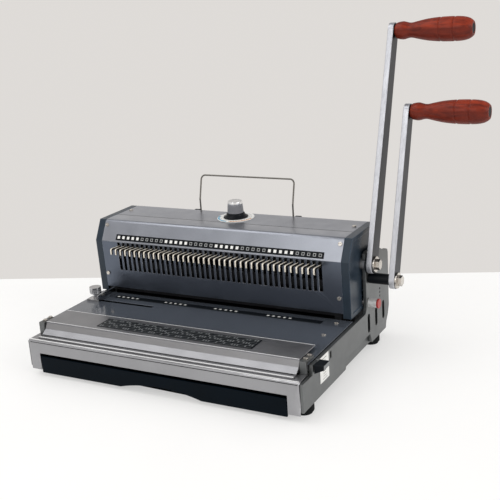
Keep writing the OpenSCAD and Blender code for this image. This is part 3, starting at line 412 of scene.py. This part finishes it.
def plated_metal(name, rgb, roughness, metallic=1.0):
    """Bright plating with a faint cloudiness and finger marks."""
    t = FinishTree(name)
    cloud = t.noise(t.position(), 6 * MM, 5, 0.6)
    rounded, _edge = t.edges(0.5 * MM)
    t.set(
        Base_Color=t.toned(cloud, rgb, 0.8, 1.1),
        Metallic=metallic,
        Roughness=t.ranged(cloud, roughness, roughness + 0.12),
        Normal=t.bump(t.noise(t.position(), 1.2 * MM), 0.01 * MM, rounded),
    )
    return t.material


def moulded_plastic(name, rgb, roughness, grain=0.6 * MM, gloss=0.5, edge_radius=1.0 * MM):
    """Moulded plastic: spark-eroded grain, slight gloss drift, and lighter edges that are partly wear and
    partly painted highlight.
    """
    t = FinishTree(name)
    where = t.position()
    drift = t.noise(where, 30 * MM, 4)
    rounded, edge = t.edges(edge_radius)
    tone = t.toned(drift, rgb, 0.85, 1.2)
    # Lighter edges: partly wear, partly painted highlight along the rims.
    rubbed_and_highlight = t.reckon("MULTIPLY", edge, t.ranged(drift, 0.3, 0.8))
    t.set(
        Base_Color=t.shade(rubbed_and_highlight, tone, shaded(rgb, 4.0)),
        Roughness=t.ranged(drift, roughness - 0.05, roughness + 0.08),
        Specular_IOR_Level=gloss,
        Normal=t.bump(t.noise(where, grain, 2), 0.04 * MM, rounded),
    )
    return t.material


def rubber_finish(name, rgb):
    """Dull rubber with a dusty bloom."""
    t = FinishTree(name)
    where = t.position()
    bloom = t.noise(where, 8 * MM, 5)
    rounded, _edge = t.edges(1.2 * MM)
    t.set(
        Base_Color=t.toned(bloom, rgb, 0.8, 2.2),
        Roughness=t.ranged(bloom, 0.65, 0.85),
        Specular_IOR_Level=0.15,
        Normal=t.bump(t.noise(where, 0.9 * MM), 0.05 * MM, rounded),
    )
    return t.material


def printed_face(name, rgb, roughness):
    """Printed or enamelled face with a faint mottle."""
    t = FinishTree(name)
    mottle = t.noise(t.position(), 4 * MM, 4)
    t.set(
        Base_Color=t.toned(mottle, rgb, 0.93, 1.05),
        Roughness=t.ranged(mottle, roughness - 0.04, roughness + 0.08),
    )
    return t.material


def varnished_wood(name, light, dark):
    """Turned hardwood under varnish: growth bands and pores along the grip, with painted shade on faces that
    do not look up.
    """
    t = FinishTree(name)
    bands = t.noise(t.position((0.22, 1, 1)), 9 * MM, 4, 1.4)
    pores = t.noise(t.position((0.05, 1, 1)), 0.9 * MM)
    cloud = t.noise(t.position(), 20 * MM)
    tone = t.shade(t.ranged(bands, 0, 1, 0.35, 0.66), shaded(dark, 1.6), shaded(light, 1.12))
    tone = t.shade(t.ranged(pores, 0, 0.55, 0.55, 0.75), tone, shaded(dark, 0.7))
    tone = t.shade(t.ranged(cloud, 0, 0.3), tone, shaded(light, 1.5))
    # Painted shade: faces that do not look up take a darker mix of the wood.
    painted_shade_underneath = t.shade(0.6, tone, shaded(dark, 1.2))
    normal = t.add("ShaderNodeNewGeometry").outputs["Normal"]
    t.set(
        Base_Color=t.shade(t.upward(), painted_shade_underneath, tone),
        Roughness=t.ranged(pores, 0.36, 0.52),
        Specular_IOR_Level=0.12,
        Coat_Weight=0.1,
        Coat_Roughness=0.14,
        Normal=t.bump(pores, 0.02 * MM, normal),
    )
    return t.material


def settings(context):
    """The colours and the sizes of the machine."""
    return context.scene.binder_colours, context.scene.binder_sizes


def dress(material, *names):
    """Gives CAD pieces a finish."""
    for name in names:
        for slot in NODES[name].material_slots:
            slot.material = material


def weld(piece):
    """Joins the corners that neighbouring faces of a CAD piece share."""
    joined = piece.modifiers.new("Weld", "WELD")
    joined.merge_threshold = SAME_CORNER


def round_edges(width, *names, steps=2, clamp=True, bends=()):
    """Rounds the edges of CAD pieces, or only bends given as (width, test of a corner)."""
    for name in names:
        piece = NODES[name]
        for polygon in piece.data.polygons:
            polygon.use_smooth = True
        weld(piece)
        flat = piece.modifiers.new("Flat faces", "DECIMATE")
        flat.decimate_type = "DISSOLVE"
        flat.angle_limit = FLAT_ANGLE
        for reach, test in bends or [(width, None)]:
            edge = piece.modifiers.new("Rounded edges", "BEVEL")
            edge.width = reach
            edge.segments = steps
            edge.use_clamp_overlap = clamp
            if test:
                group = piece.vertex_groups.new(name="bend")
                group.add([v.index for v in piece.data.vertices if test(v.co)], 1.0, "REPLACE")
                edge.limit_method = "VGROUP"
                edge.vertex_group = group.name
            else:
                edge.limit_method = "ANGLE"
                edge.angle_limit = EDGE_ANGLE
        even = piece.modifiers.new("Even shading", "WEIGHTED_NORMAL")
        even.keep_sharp = False


def draw_in(depth, name):
    """Draws the surface of a CAD rod in by a depth, so that it looks as thin as bare wire."""
    weld(NODES[name])
    thin = NODES[name].modifiers.new("Drawn in", "DISPLACE")
    thin.mid_level = 0
    thin.strength = -depth


def new_object(name, data):
    """Links a new object to the scene."""
    made = bpy.data.objects.new(name, data)
    bpy.context.scene.collection.objects.link(made)
    return made


def new_piece(name, mesh, material, body):
    """Links a new mesh object, smooths its round faces and lets it ride on a body."""
    mesh.materials.append(material)
    for polygon in mesh.polygons:
        polygon.use_smooth = True
    mesh.set_sharp_from_angle(angle=SHARP_ANGLE)
    piece = new_object(name, mesh)
    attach(piece, body)
    return piece


def mesh_from(bm, name):
    """Finishes a bmesh as a mesh with outward faces."""
    bmesh.ops.recalc_face_normals(bm, faces=bm.faces)
    mesh = bpy.data.meshes.new(name)
    bm.to_mesh(mesh)
    bm.free()
    return mesh


def join_loops(bm, first, second):
    """Joins two closed loops of corners by a band of faces; a loop may be one corner again and again."""
    for step in range(len(first)):
        follow = (step + 1) % len(first)
        corners = list(dict.fromkeys([first[step], first[follow], second[follow], second[step]]))
        if len(corners) > 2:
            bm.faces.new(corners)


def turned_mesh(name, loop, around, place, ripple=None):
    """Solid turned from a closed loop of (distance along the axis, radius); place maps it to the frame."""
    bm = bmesh.new()
    rings = []
    for along, radius in loop:
        if radius == 0:
            rings.append([bm.verts.new(place @ Vector((0, 0, along)))] * around)
            continue
        ring = []
        for step in range(around):
            angle = math.tau * step / around
            r = radius - (ripple(along, angle) if ripple else 0)
            ring.append(bm.verts.new(place @ Vector((r * math.cos(angle), r * math.sin(angle), along))))
        rings.append(ring)
    for first, second in zip(rings, rings[1:] + rings[:1]):
        join_loops(bm, first, second)
    return mesh_from(bm, name)


class FlatFace:
    """Flat face of a CAD piece: its middle, its directions across and up, and its size."""

    def __init__(self, node, looking):
        mesh = NODES[node].data
        looking = Vector(looking).normalized()
        facing = [p for p in mesh.polygons if p.normal.dot(looking) > 0.9]
        largest = max(facing, key=lambda p: p.area)
        self.normal = largest.normal.copy()
        reach = max(p.center.dot(self.normal) for p in facing)
        flat = [p for p in facing if abs(p.center.dot(self.normal) - reach) < SAME_FACE]
        points = [mesh.vertices[i].co for p in flat for i in p.vertices]
        helper = ALONG_X if abs(self.normal.x) < 0.9 else Vector((0, 1, 0))
        self.up = self.normal.cross(helper).normalized()
        self.across = self.up.cross(self.normal).normalized()
        spans = [[p.dot(direction) for p in points] for direction in (self.across, self.up)]
        self.width, self.height = (max(s) - min(s) for s in spans)
        middle = [(max(s) + min(s)) / 2 for s in spans]
        self.middle = self.across * middle[0] + self.up * middle[1] + self.normal * reach

    def point(self, u, v, rise):
        """Place on the face, u across and v up from its middle, raised along its normal."""
        return self.middle + self.across * u + self.up * v + self.normal * rise


def rectangle(u, v, width, height, turn=0.0):
    """Corners of a rectangle with its middle at u, v."""
    c, s = math.cos(turn), math.sin(turn)
    x, y = width / 2, height / 2
    corners = [(-x, -y), (x, -y), (x, y), (-x, y)]
    return [(u + p * c - q * s, v + p * s + q * c) for p, q in corners]


def arc(outer, inner, start, end, steps=40):
    """Corners of a curved band about the middle, from one angle to another, in degrees."""
    angles = [math.radians(start + (end - start) * i / steps) for i in range(steps + 1)]
    rim = [(outer * math.cos(a), outer * math.sin(a)) for a in angles]
    return rim + [(inner * math.cos(a), inner * math.sin(a)) for a in reversed(angles)]


def print_piece(name, face, outlines, material, body):
    """Thin raised print on a face; an outline is its outer loop and, if it is open, its inner loop."""
    height = bpy.context.scene.binder_sizes.print_height
    bm = bmesh.new()
    for loops in outlines:
        low = [[bm.verts.new(face.point(u, v, -height / 3)) for u, v in loop] for loop in loops]
        top = [[bm.verts.new(face.point(u, v, height)) for u, v in loop] for loop in loops]
        for lower, upper in zip(low, top):
            join_loops(bm, lower, upper)
        for level in (low, top):
            if len(level) == 1:
                bm.faces.new(level[0])
            else:
                join_loops(bm, *level)
    new_piece(name, mesh_from(bm, name), material, body)


def smooth_radius(points, along):
    """Radius at a distance along a turned piece, on a smooth curve through (distance, radius) points."""
    last = len(points) - 2
    i = next((k for k in range(last) if along <= points[k + 1][0]), last)
    (x0, r0), (x1, r1) = points[i], points[i + 1]
    before, after = points[max(i - 1, 0)], points[min(i + 2, last + 1)]
    rise0 = (x1 - x0) * (r1 - before[1]) / (x1 - before[0])
    rise1 = (x1 - x0) * (after[1] - r0) / (after[0] - x0)
    t = (along - x0) / (x1 - x0)
    start = r0 * (1 + 2 * t) * (1 - t) ** 2 + rise0 * t * (1 - t) ** 2
    return start + r1 * t * t * (3 - 2 * t) + rise1 * t * t * (t - 1)


class BINDER_OT_casing(bpy.types.Operator):
    """Paint the folded sheets, the side plates and the deck"""

    bl_idname = "binder.casing"
    bl_label = "Casing"

    def execute(self, context):
        tones, sizes = settings(context)
        paint = sheet_paint("Side paint", tones.side, roughness=0.36, metallic=0.8, coat=0.1)
        dress(paint, "base_pan", "left_side_plate", "right_side_plate", "rear_panel", "end_blocks")
        # The tower's upright faces get painted shade from the second colour.
        folded = sheet_paint(
            "Casing paint", tones.casing, roughness=0.29, metallic=0.97, coat=0.05, bend=1.4 * MM,
            painted_shade_rgb=tones.casing_painted_shade,
        )
        dress(folded, "tower_front_panel", "tower_rear_cover")
        glossy = sheet_paint("Deck paint", tones.deck, roughness=0.18, metallic=0.35, coat=0.6)
        dress(glossy, "deck_plate")
        round_edges(sizes.sheet_edge, "base_pan", "left_side_plate", "rear_panel", "tower_rear_cover")
        round_edges(sizes.sheet_edge, "deck_plate", "end_blocks")
        round_edges(sizes.sheet_edge, "right_side_plate", clamp=False)
        top = FlatFace("tower_front_panel", UPWARDS)
        bend = top.point(0, -top.height / 2, 0)
        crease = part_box("tower_front_panel")[0].y
        bends = [
            (sizes.tower_bend, lambda co: (co - bend).yz.length < ON_BEND),
            (sizes.sheet_edge, lambda co: abs(co.y - crease) < ON_CREASE),
        ]
        round_edges(sizes.sheet_edge, "tower_front_panel", steps=4, bends=bends)
        return {"FINISHED"}


class BINDER_OT_silver_front(bpy.types.Operator):
    """Paint the fascia, press bar, cover and jaw strip, and add painted highlight lines along their edges
    and a dark groove filling as painted shade
    """

    bl_idname = "binder.silver_front"
    bl_label = "Silver front"

    def execute(self, context):
        tones, sizes = settings(context)
        silver = sheet_paint("Silver paint", tones.silver, roughness=0.29, metallic=0.94, coat=0.05)
        dress(silver, "front_fascia", "press_bar", "closer_cover", "jaw_strip")
        self.painted_highlight_lines(tones, sizes)
        front = FlatFace("front_fascia", FORWARDS)
        fold = front.point(0, front.height / 2, 0)
        # Painted shade: a dark strip sunk in the groove stands in for its shade.
        across = front.width - 2 * sizes.groove_end
        filled = [[rectangle(0, front.height / 2 - sizes.groove_drop, across, sizes.groove)]]
        front.middle -= front.normal * sizes.groove_floor
        dark = printed_face("Groove", tones.black, 0.6)
        print_piece("fascia_groove", front, filled, dark, "base")
        bends = [(sizes.front_bend, lambda co: (co - fold).yz.length < ON_BEND)]
        round_edges(sizes.sheet_edge, "front_fascia", steps=4, bends=bends)
        round_edges(sizes.sheet_edge, "press_bar", "closer_cover")
        round_edges(sizes.fine_edge, "jaw_strip")
        return {"FINISHED"}

    @staticmethod
    def painted_highlight_lines(tones, sizes):
        """Painted highlight lines along the cover's rear (1) and front (-1) edges, the jaw strip and the
        ledge.
        """
        # Painted highlight: bright strips printed along the edges where they catch the light.
        bright = brushed_metal("Bright steel", tones.bright, 0.34, (0.02, 1, 1), metallic=0.25)
        cover, jaw = FlatFace("closer_cover", UPWARDS), FlatFace("jaw_strip", UPWARDS)
        ledge = FlatFace("front_fascia", UPWARDS)
        edges = (
            ("cover_rear_edge", cover, 1, sizes.sheet_edge, sizes.highlight_line, "closer"),
            ("cover_front_edge", cover, -1, sizes.sheet_edge, sizes.highlight_line, "closer"),
            ("jaw_edge", jaw, -1, sizes.sheet_edge, sizes.wide_highlight_line, "base"),
            ("ledge_edge", ledge, -1, sizes.front_bend, sizes.wide_highlight_line, "base"),
        )
        for name, face, side, inset, width, body in edges:
            v = side * (face.height / 2 - inset - width / 2)
            line = [[rectangle(0, v, face.width - 2 * sizes.sheet_edge, width)]]
            print_piece(name, face, line, bright, body)


class BINDER_OT_plastics(bpy.types.Operator):
    """Finish the end caps, the black plastic pieces, the feet, the red tip and the white plates"""

    bl_idname = "binder.plastics"
    bl_label = "Plastics"

    def execute(self, context):
        tones, sizes = settings(context)
        # The caps' wide edge radius widens their painted rim highlight.
        caps = moulded_plastic("Cap plastic", tones.cap, 0.3, 0.8 * MM, gloss=0.3, edge_radius=1.8 * MM)
        strips = ("deck_strip", "index_strip", "chart_strip")
        mouldings = ("rack_clips", "selector_knob", "dial_skirt", "punch_hub", "closing_sleeve")
        spindles = ("punch_spindle", "closing_spindle")
        plates = ("dial_plate", "scale_plate")
        dress(caps, "left_cap", "right_cap")
        dress(moulded_plastic("Black plastic", tones.black, 0.36, gloss=0.16), *strips, *mouldings)
        dress(moulded_plastic("Drawer plastic", tones.drawer, 0.4, gloss=0.06), "chip_drawer", *spindles)
        dress(rubber_finish("Foot rubber", tones.rubber), "feet")
        dress(moulded_plastic("Red plastic", tones.red, 0.35), "rod_tip")
        dress(printed_face("White enamel", tones.white, 0.4), *plates)
        round_edges(sizes.soft_edge, "right_cap", "feet")
        round_edges(sizes.sheet_edge, *mouldings, *spindles, "rod_tip")
        round_edges(sizes.sheet_edge, "left_cap", "chip_drawer", clamp=False)
        round_edges(sizes.fine_edge, *strips, *plates)
        return {"FINISHED"}


class BINDER_OT_metal_parts(bpy.types.Operator):
    """Finish the mechanism, hooks, rack, screws and bolts"""

    bl_idname = "binder.metal_parts"
    bl_label = "Metal parts"

    def execute(self, context):
        tones, sizes = settings(context)
        steel = brushed_metal("Machined steel", tones.steel, 0.34, (0.05, 1, 1))
        dress(steel, "guide_rods", "punch_shaft", "punch_eccentrics", "punch_pins", "closing_shaft")
        dress(steel, "closing_cam", "dial_spindle", "guide_nut", "selector_cam")
        oxide = brushed_metal("Black oxide", tones.oxide, 0.42, (0.05, 1, 1))
        dress(oxide, "end_frames", "frame_brackets", "die_plate", "die_spacer", "stripper_plate")
        dress(oxide, "punch_ram", "hook_bar", "closer_arms")
        fasteners = ("case_screws", "punch_bolt", "closing_bolt")
        dress(plated_metal("Rack wire", tones.wire, 0.28), "wire_rack")
        dress(plated_metal("Nickel", tones.nickel, 0.15), *fasteners)
        dress(plated_metal("Rod steel", tones.bright, 0.28, metallic=0.5), "release_rod")
        dress(plated_metal("Bright chrome", tones.steel, 0.12), "guide_thumbscrew", "guide_bracket")
        dress(plated_metal("Bush bronze", tones.bronze, 0.3), "shaft_bushes")
        # The hooks' flat sides get painted shade through the dark colour.
        dress(flat_bar("Pale zinc", tones.hook_flat_shade, tones.hook, metallic=0.45), "wire_hooks")
        round_edges(sizes.fine_edge, "wire_hooks", *fasteners, "guide_thumbscrew")
        round_edges(sizes.sheet_edge, "guide_bracket", "release_rod")
        draw_in(sizes.wire_draw, "wire_rack")
        return {"FINISHED"}


class BINDER_OT_levers(bpy.types.Operator):
    """Grind the edges of the two levers, with painted shade on their flat sides"""

    bl_idname = "binder.levers"
    bl_label = "Levers"

    def execute(self, context):
        tones, sizes = settings(context)
        dress(flat_bar("Lever steel", tones.lever_flat_shade, tones.lever), "punch_arm", "closing_arm")
        round_edges(sizes.bar_edge, "punch_arm", "closing_arm")
        return {"FINISHED"}


class BINDER_OT_grips(bpy.types.Operator):
    """Turn the two wooden grips"""

    bl_idname = "binder.grips"
    bl_label = "Wooden grips"

    def execute(self, context):
        tones, sizes = settings(context)
        wood = varnished_wood("Varnished wood", tones.wood, tones.wood_dark)
        lying = Matrix.Rotation(math.radians(90), 4, "Y")
        for lever in ("punch", "closing"):
            node = lever + "_grip"
            low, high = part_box(node)
            loop = self.grip_loop(high.x - low.x, (high.z - low.z) / 2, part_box(lever + "_spindle"), sizes)
            middle = (low + high) / 2
            place = Matrix.Translation((low.x, middle.y, middle.z)) @ lying
            mesh = turned_mesh(node + "_turned", loop, TURNED_STEPS, place)
            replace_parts(new_piece(node + "_turned", mesh, wood, lever + "_handle"), node)
        return {"FINISHED"}

    @staticmethod
    def grip_loop(size, radius, spindle, sizes):
        """Closed loop of the grip: collar, neck, swell with cut rings, round tail, cup for the cap, bore."""
        cup = (spindle[1].z - spindle[0].z) / 2 + sizes.cup_gap
        floor = size - sizes.cup_depth
        points = [(size * along, radius * share) for along, share in GRIP_OUTLINE]
        loop = []
        for step in range(GRIP_STEPS + 1):
            along = size * step / GRIP_STEPS
            offsets = [(along - size * ring) / (sizes.ring_width / 2) for ring in GRIP_RINGS]
            cut = sum(sizes.ring_depth * math.exp(-(offset**2)) for offset in offsets)
            loop.append((along, min(radius, smooth_radius(points, along)) - cut))
        return loop + [(size, cup), (floor, cup), (floor, sizes.grip_bore), (0, sizes.grip_bore)]


class BINDER_OT_dial(bpy.types.Operator):
    """Turn the fluted dial knob with its silver cap, and print the ring under it"""

    bl_idname = "binder.dial"
    bl_label = "Dial"

    def execute(self, context):
        tones, sizes = settings(context)
        low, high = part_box("dial_knob")
        height = high.z - low.z
        foot = (high.x - low.x) / 2
        top = foot - sizes.knob_taper
        shoulder = height - sizes.knob_band
        plain = 2 * MM
        seat = shoulder - 0.02 * MM
        dish = height - 0.2 * MM
        place = Matrix.Translation(((low.x + high.x) / 2, (low.y + high.y) / 2, low.z))

        def flute(along, angle):
            """Depth of the flutes, which leave the foot and the top plain."""
            fluted = plain < along < shoulder - plain
            return sizes.flute_depth * (0.5 - 0.5 * math.cos(angle * sizes.flutes)) if fluted else 0.0

        side = [
            (0, 0), (0, foot - 0.5 * MM), (0.5 * MM, foot), (plain, foot - 0.1 * MM),
            (shoulder - 3 * MM, top + 0.2 * MM), (shoulder - 1 * MM, top), (shoulder, top - 0.7 * MM),
            (shoulder, 0),
        ]
        grey = moulded_plastic("Knob grey", tones.knob, 0.35, 0.5 * MM)
        body = turned_mesh("dial_knob_body", self.finer(side), sizes.flutes * 8, place, flute)
        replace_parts(new_piece("dial_knob_body", body, grey, "dial"), "dial_knob")
        disc = [
            (seat, 0), (seat, top - 0.3 * MM), (shoulder + 0.4 * MM, top - 0.1 * MM),
            (height - 1.0 * MM, top - 0.3 * MM), (height - 0.3 * MM, top - 0.7 * MM),
            (height, top - 1.6 * MM), (dish, top - 3 * MM), (dish, 0),
        ]
        silver = plated_metal("Knob cap", tones.band, 0.28)
        cap = turned_mesh("dial_knob_cap", disc, TURNED_STEPS, place)
        new_piece("dial_knob_cap", cap, silver, "dial")
        self.ring_marks(tones, sizes)
        return {"FINISHED"}

    @staticmethod
    def finer(points, long_span=4 * MM, parts=10):
        """Adds points on the long sides of a loop, so that flutes can start and end there."""
        loop = []
        for (x0, r0), (x1, r1) in zip(points, points[1:]):
            steps = parts if r0 and r1 and x1 - x0 > long_span else 1
            loop += [(x0 + (x1 - x0) * i / steps, r0 + (r1 - r0) * i / steps) for i in range(steps)]
        return loop + [points[-1]]

    @staticmethod
    def ring_marks(tones, sizes):
        """Ticks round the white ring, and two arcs at its rim, blue at the left, orange at the right."""
        face = FlatFace("dial_plate", UPWARDS)
        outside = face.width / 2 - sizes.dial_margin
        inside = outside - sizes.dial_arc
        ticks = []
        for step in range(-15, 16):
            angle = math.radians(10 * step)
            size = sizes.tick_short if step % 5 else sizes.tick_long
            middle = inside - sizes.tick_gap - size / 2
            spot = (-math.sin(angle) * middle, -math.cos(angle) * middle)
            ticks.append([rectangle(*spot, sizes.tick_width, size, -angle)])
        marks = (
            ("blue", [[arc(outside, inside, 182, 265)]], tones.print_blue),
            ("orange", [[arc(outside, inside, 275, 358)]], tones.print_orange),
            ("line", ticks, tones.black),
        )
        for kind, outlines, tone in marks:
            paint = printed_face("Dial print " + kind, tone, 0.45)
            print_piece("dial_marks_" + kind, face, outlines, paint, "base")


class BINDER_OT_index_marks(bpy.types.Operator):
    """Print filled and open squares on the tower strip, and filled marks on the deck strip"""

    bl_idname = "binder.index_marks"
    bl_label = "Index marks"

    def execute(self, context):
        tones, sizes = settings(context)
        white = printed_face("White print", tones.white, 0.45)
        grey = printed_face("Grey print", tones.square_grey, 0.45)
        tower = FlatFace("index_strip", (0, -1, 0.55))
        filled, opened = self.squares(tower, sizes.square, sizes.square, sizes)
        print_piece("index_squares_filled", tower, filled, white, "base")
        print_piece("index_squares_open", tower, opened, grey, "base")
        deck = FlatFace("deck_strip", UPWARDS)
        filled, _opened = self.squares(deck, sizes.deck_mark_width, sizes.deck_mark_height, sizes)
        print_piece("deck_squares_filled", deck, filled, white, "base")
        return {"FINISHED"}

    @staticmethod
    def squares(face, width, height, sizes):
        """Outlines of the filled and of the open squares, one for each hole, in groups that take turns."""
        holes = round((face.width - 2 * sizes.strip_margin) / sizes.hole_pitch)
        line = 2 * sizes.square_line
        filled, opened = [], []
        for hole in range(holes):
            u = (hole - (holes - 1) / 2) * sizes.hole_pitch
            outer = rectangle(u, 0, width, height)
            if hole // sizes.group % 2:
                opened.append([outer, rectangle(u, 0, width - line, height - line)])
            else:
                filled.append([outer])
        return filled, opened


class BINDER_OT_chart(bpy.types.Operator):
    """Print a plain table of rows and short bars on the cover's chart strip"""

    bl_idname = "binder.chart"
    bl_label = "Chart"

    def execute(self, context):
        tones, sizes = settings(context)
        face = FlatFace("chart_strip", UPWARDS)
        width, height = face.width - 2 * sizes.chart_side, face.height - 2 * sizes.chart_end
        rows, columns = sizes.chart_rows, sizes.chart_columns
        pitch = width / columns
        bar_width, bar_height = 0.4 * pitch, 0.85 * (height / rows - sizes.chart_line)
        lines = [
            [rectangle(0, height * (row / rows - 0.5), width, sizes.chart_line)] for row in range(rows + 1)
        ]
        for row in range(rows):
            v = height * ((row + 0.5) / rows - 0.5)
            for column in range(columns):
                if self.has_bar(row, column):
                    u = pitch * (column + 0.5) - width / 2
                    lines.append([rectangle(u, v, bar_width, bar_height)])
        grey = printed_face("Chart print", tones.print_grey, 0.5)
        print_piece("chart_grid", face, lines, grey, "closer")
        return {"FINISHED"}

    @staticmethod
    def has_bar(row, column):
        """Uneven pattern that fills about two cells in five."""
        return (column * column % 11 + 3 * row) % 5 < 2


class BINDER_OT_small_marks(bpy.types.Operator):
    """Print ticks on the white side plate, the block knob's grey end and the seam across the tower's top"""

    bl_idname = "binder.small_marks"
    bl_label = "Ticks, knob end and seam"

    def execute(self, context):
        tones, sizes = settings(context)
        black = printed_face("Black print", tones.black, 0.5)
        plate = FlatFace("scale_plate", ALONG_X)
        ticks = []
        for i in range(9):
            across = plate.width * (0.3 if i % 4 else 0.5)
            ticks.append([rectangle(0, plate.height * (i / 10 - 0.4), across, sizes.scale_line)])
        print_piece("scale_ticks", plate, ticks, black, "base")

        end = FlatFace("selector_knob", ALONG_X)
        rim = 2 * sizes.knob_margin
        patch = [[rectangle(0, 0, end.width - rim, end.height - rim)]]
        grey = printed_face("Knob end", tones.print_grey, 0.4)
        print_piece("selector_end", end, patch, grey, "selector")

        top = FlatFace("tower_rear_cover", UPWARDS)
        seam = [[rectangle(0, sizes.seam_line / 2 - top.height / 2, top.width, sizes.seam_line)]]
        print_piece("top_seam", top, seam, black, "base")
        return {"FINISHED"}


class BINDER_OT_stage(bpy.types.Operator):
    """Lay the floor, set the lamps and place the camera"""

    bl_idname = "binder.stage"
    bl_label = "Stage"

    def execute(self, context):
        stage = context.scene.binder_stage
        self.lay_floor(stage)
        self.light_backdrop(context, stage)
        self.hang_lamps(stage)
        self.place_camera(context, stage)
        context.scene.view_settings.view_transform = "Standard"
        return {"FINISHED"}

    @staticmethod
    def lay_floor(stage):
        """Disc cut off straight behind the machine, which keeps a share of its tone in the shadow."""
        radius = stage.floor_radius
        far = math.acos(stage.floor_depth / radius)
        bm = bmesh.new()
        rim = []
        for step in range(FLOOR_STEPS + 1):
            angle = math.radians(90) + stage.floor_turn + far + (math.tau - 2 * far) * step / FLOOR_STEPS
            rim.append(bm.verts.new((radius * math.cos(angle), radius * math.sin(angle), 0)))
        bm.faces.new(rim)
        floor = new_object("floor", mesh_from(bm, "floor"))
        t = FinishTree("Floor")
        tone = t.toned(t.noise(t.position(), 300 * MM), stage.floor, 1.0, 0.985)
        glow = t.reckon("MULTIPLY", t.seen(), stage.floor_glow)
        t.set(
            Base_Color=t.shade(glow, tone, (0, 0, 0, 1)),
            Emission_Color=tone,
            Emission_Strength=glow,
            Roughness=t.ranged(t.noise(t.position(), 50 * MM), 0.6, 0.8),
            Specular_IOR_Level=0.2,
        )
        floor.data.materials.append(t.material)

    @staticmethod
    def light_backdrop(context, stage):
        """World that lights softly from all round and shows a pale backdrop, dimmer overhead."""
        world = bpy.data.worlds.new("Studio")
        context.scene.world = world
        t = NodeTree(world)
        soft = t.add("ShaderNodeBackground", {"Color": shaded(stage.sky_tint), "Strength": stage.sky})
        direction = t.add("ShaderNodeTexCoord").outputs["Generated"]
        climb = t.ranged(t.add("ShaderNodeSeparateXYZ", {0: direction}).outputs["Z"], 0, 1, 0.3, 0.55)
        tone = t.shade(climb, shaded(stage.backdrop), shaded(stage.zenith))
        shown = t.add("ShaderNodeBackground", {"Color": tone, "Strength": 1.0})
        mix = t.add("ShaderNodeMixShader", {0: t.seen(), 1: soft.outputs[0], 2: shown.outputs[0]})
        t.add("ShaderNodeOutputWorld", {"Surface": mix.outputs[0]})

    @staticmethod
    def hang_lamps(stage):
        """Square lamps that look at the machine."""
        for name, setting, size, place in LAMPS:
            lamp = bpy.data.lights.new(name, "AREA")
            lamp.energy = getattr(stage, setting)
            lamp.size = size
            holder = new_object(name, lamp)
            holder.location = place
            holder.rotation_euler = (LAMP_AIM - Vector(place)).to_track_quat("-Z", "Y").to_euler()

    @staticmethod
    def place_camera(context, stage):
        """Camera at the photograph's viewing angle."""
        lens = bpy.data.cameras.new("camera")
        lens.lens = stage.camera_lens
        camera = new_object("camera", lens)
        yaw, pitch, roll = stage.camera_turn
        turn = (
            Matrix.Rotation(yaw, 4, "Z")
            @ Matrix.Rotation(math.radians(90) + pitch, 4, "X")
            @ Matrix.Rotation(roll, 4, "Z")
        )
        camera.matrix_world = Matrix.Translation(stage.camera_place) @ turn
        context.scene.camera = camera


class BINDER_PT_pieces(bpy.types.Panel):
    """Lists the machine's pieces and their settings"""

    bl_idname = "BINDER_PT_pieces"
    bl_label = "Wire Binding Machine"
    bl_space_type = "VIEW_3D"
    bl_region_type = "UI"
    bl_category = "Binder"

    def draw(self, context):
        for operator in PIECES:
            self.layout.operator(operator.bl_idname)
        for group in GROUPS:
            box = self.layout.box()
            values = getattr(context.scene, group)
            for name in values.__annotations__:
                box.prop(values, name)


PIECES = (
    BINDER_OT_casing,
    BINDER_OT_silver_front,
    BINDER_OT_plastics,
    BINDER_OT_metal_parts,
    BINDER_OT_levers,
    BINDER_OT_grips,
    BINDER_OT_dial,
    BINDER_OT_index_marks,
    BINDER_OT_chart,
    BINDER_OT_small_marks,
    BINDER_OT_stage,
)
GROUPS = {"binder_colours": BinderColours, "binder_sizes": BinderSizes, "binder_stage": BinderStage}


def register():
    for kind in (*GROUPS.values(), *PIECES, BINDER_PT_pieces):
        bpy.utils.register_class(kind)
    for name, kind in GROUPS.items():
        setattr(bpy.types.Scene, name, PointerProperty(type=kind))


def unregister():
    for name in GROUPS:
        delattr(bpy.types.Scene, name)
    for kind in reversed((*GROUPS.values(), *PIECES, BINDER_PT_pieces)):
        bpy.utils.unregister_class(kind)


def main():
    register()
    for operator in PIECES:
        group, name = operator.bl_idname.split(".")
        getattr(getattr(bpy.ops, group), name)()
    bpy.context.view_layer.update()


if __name__ == "__main__":
    main()
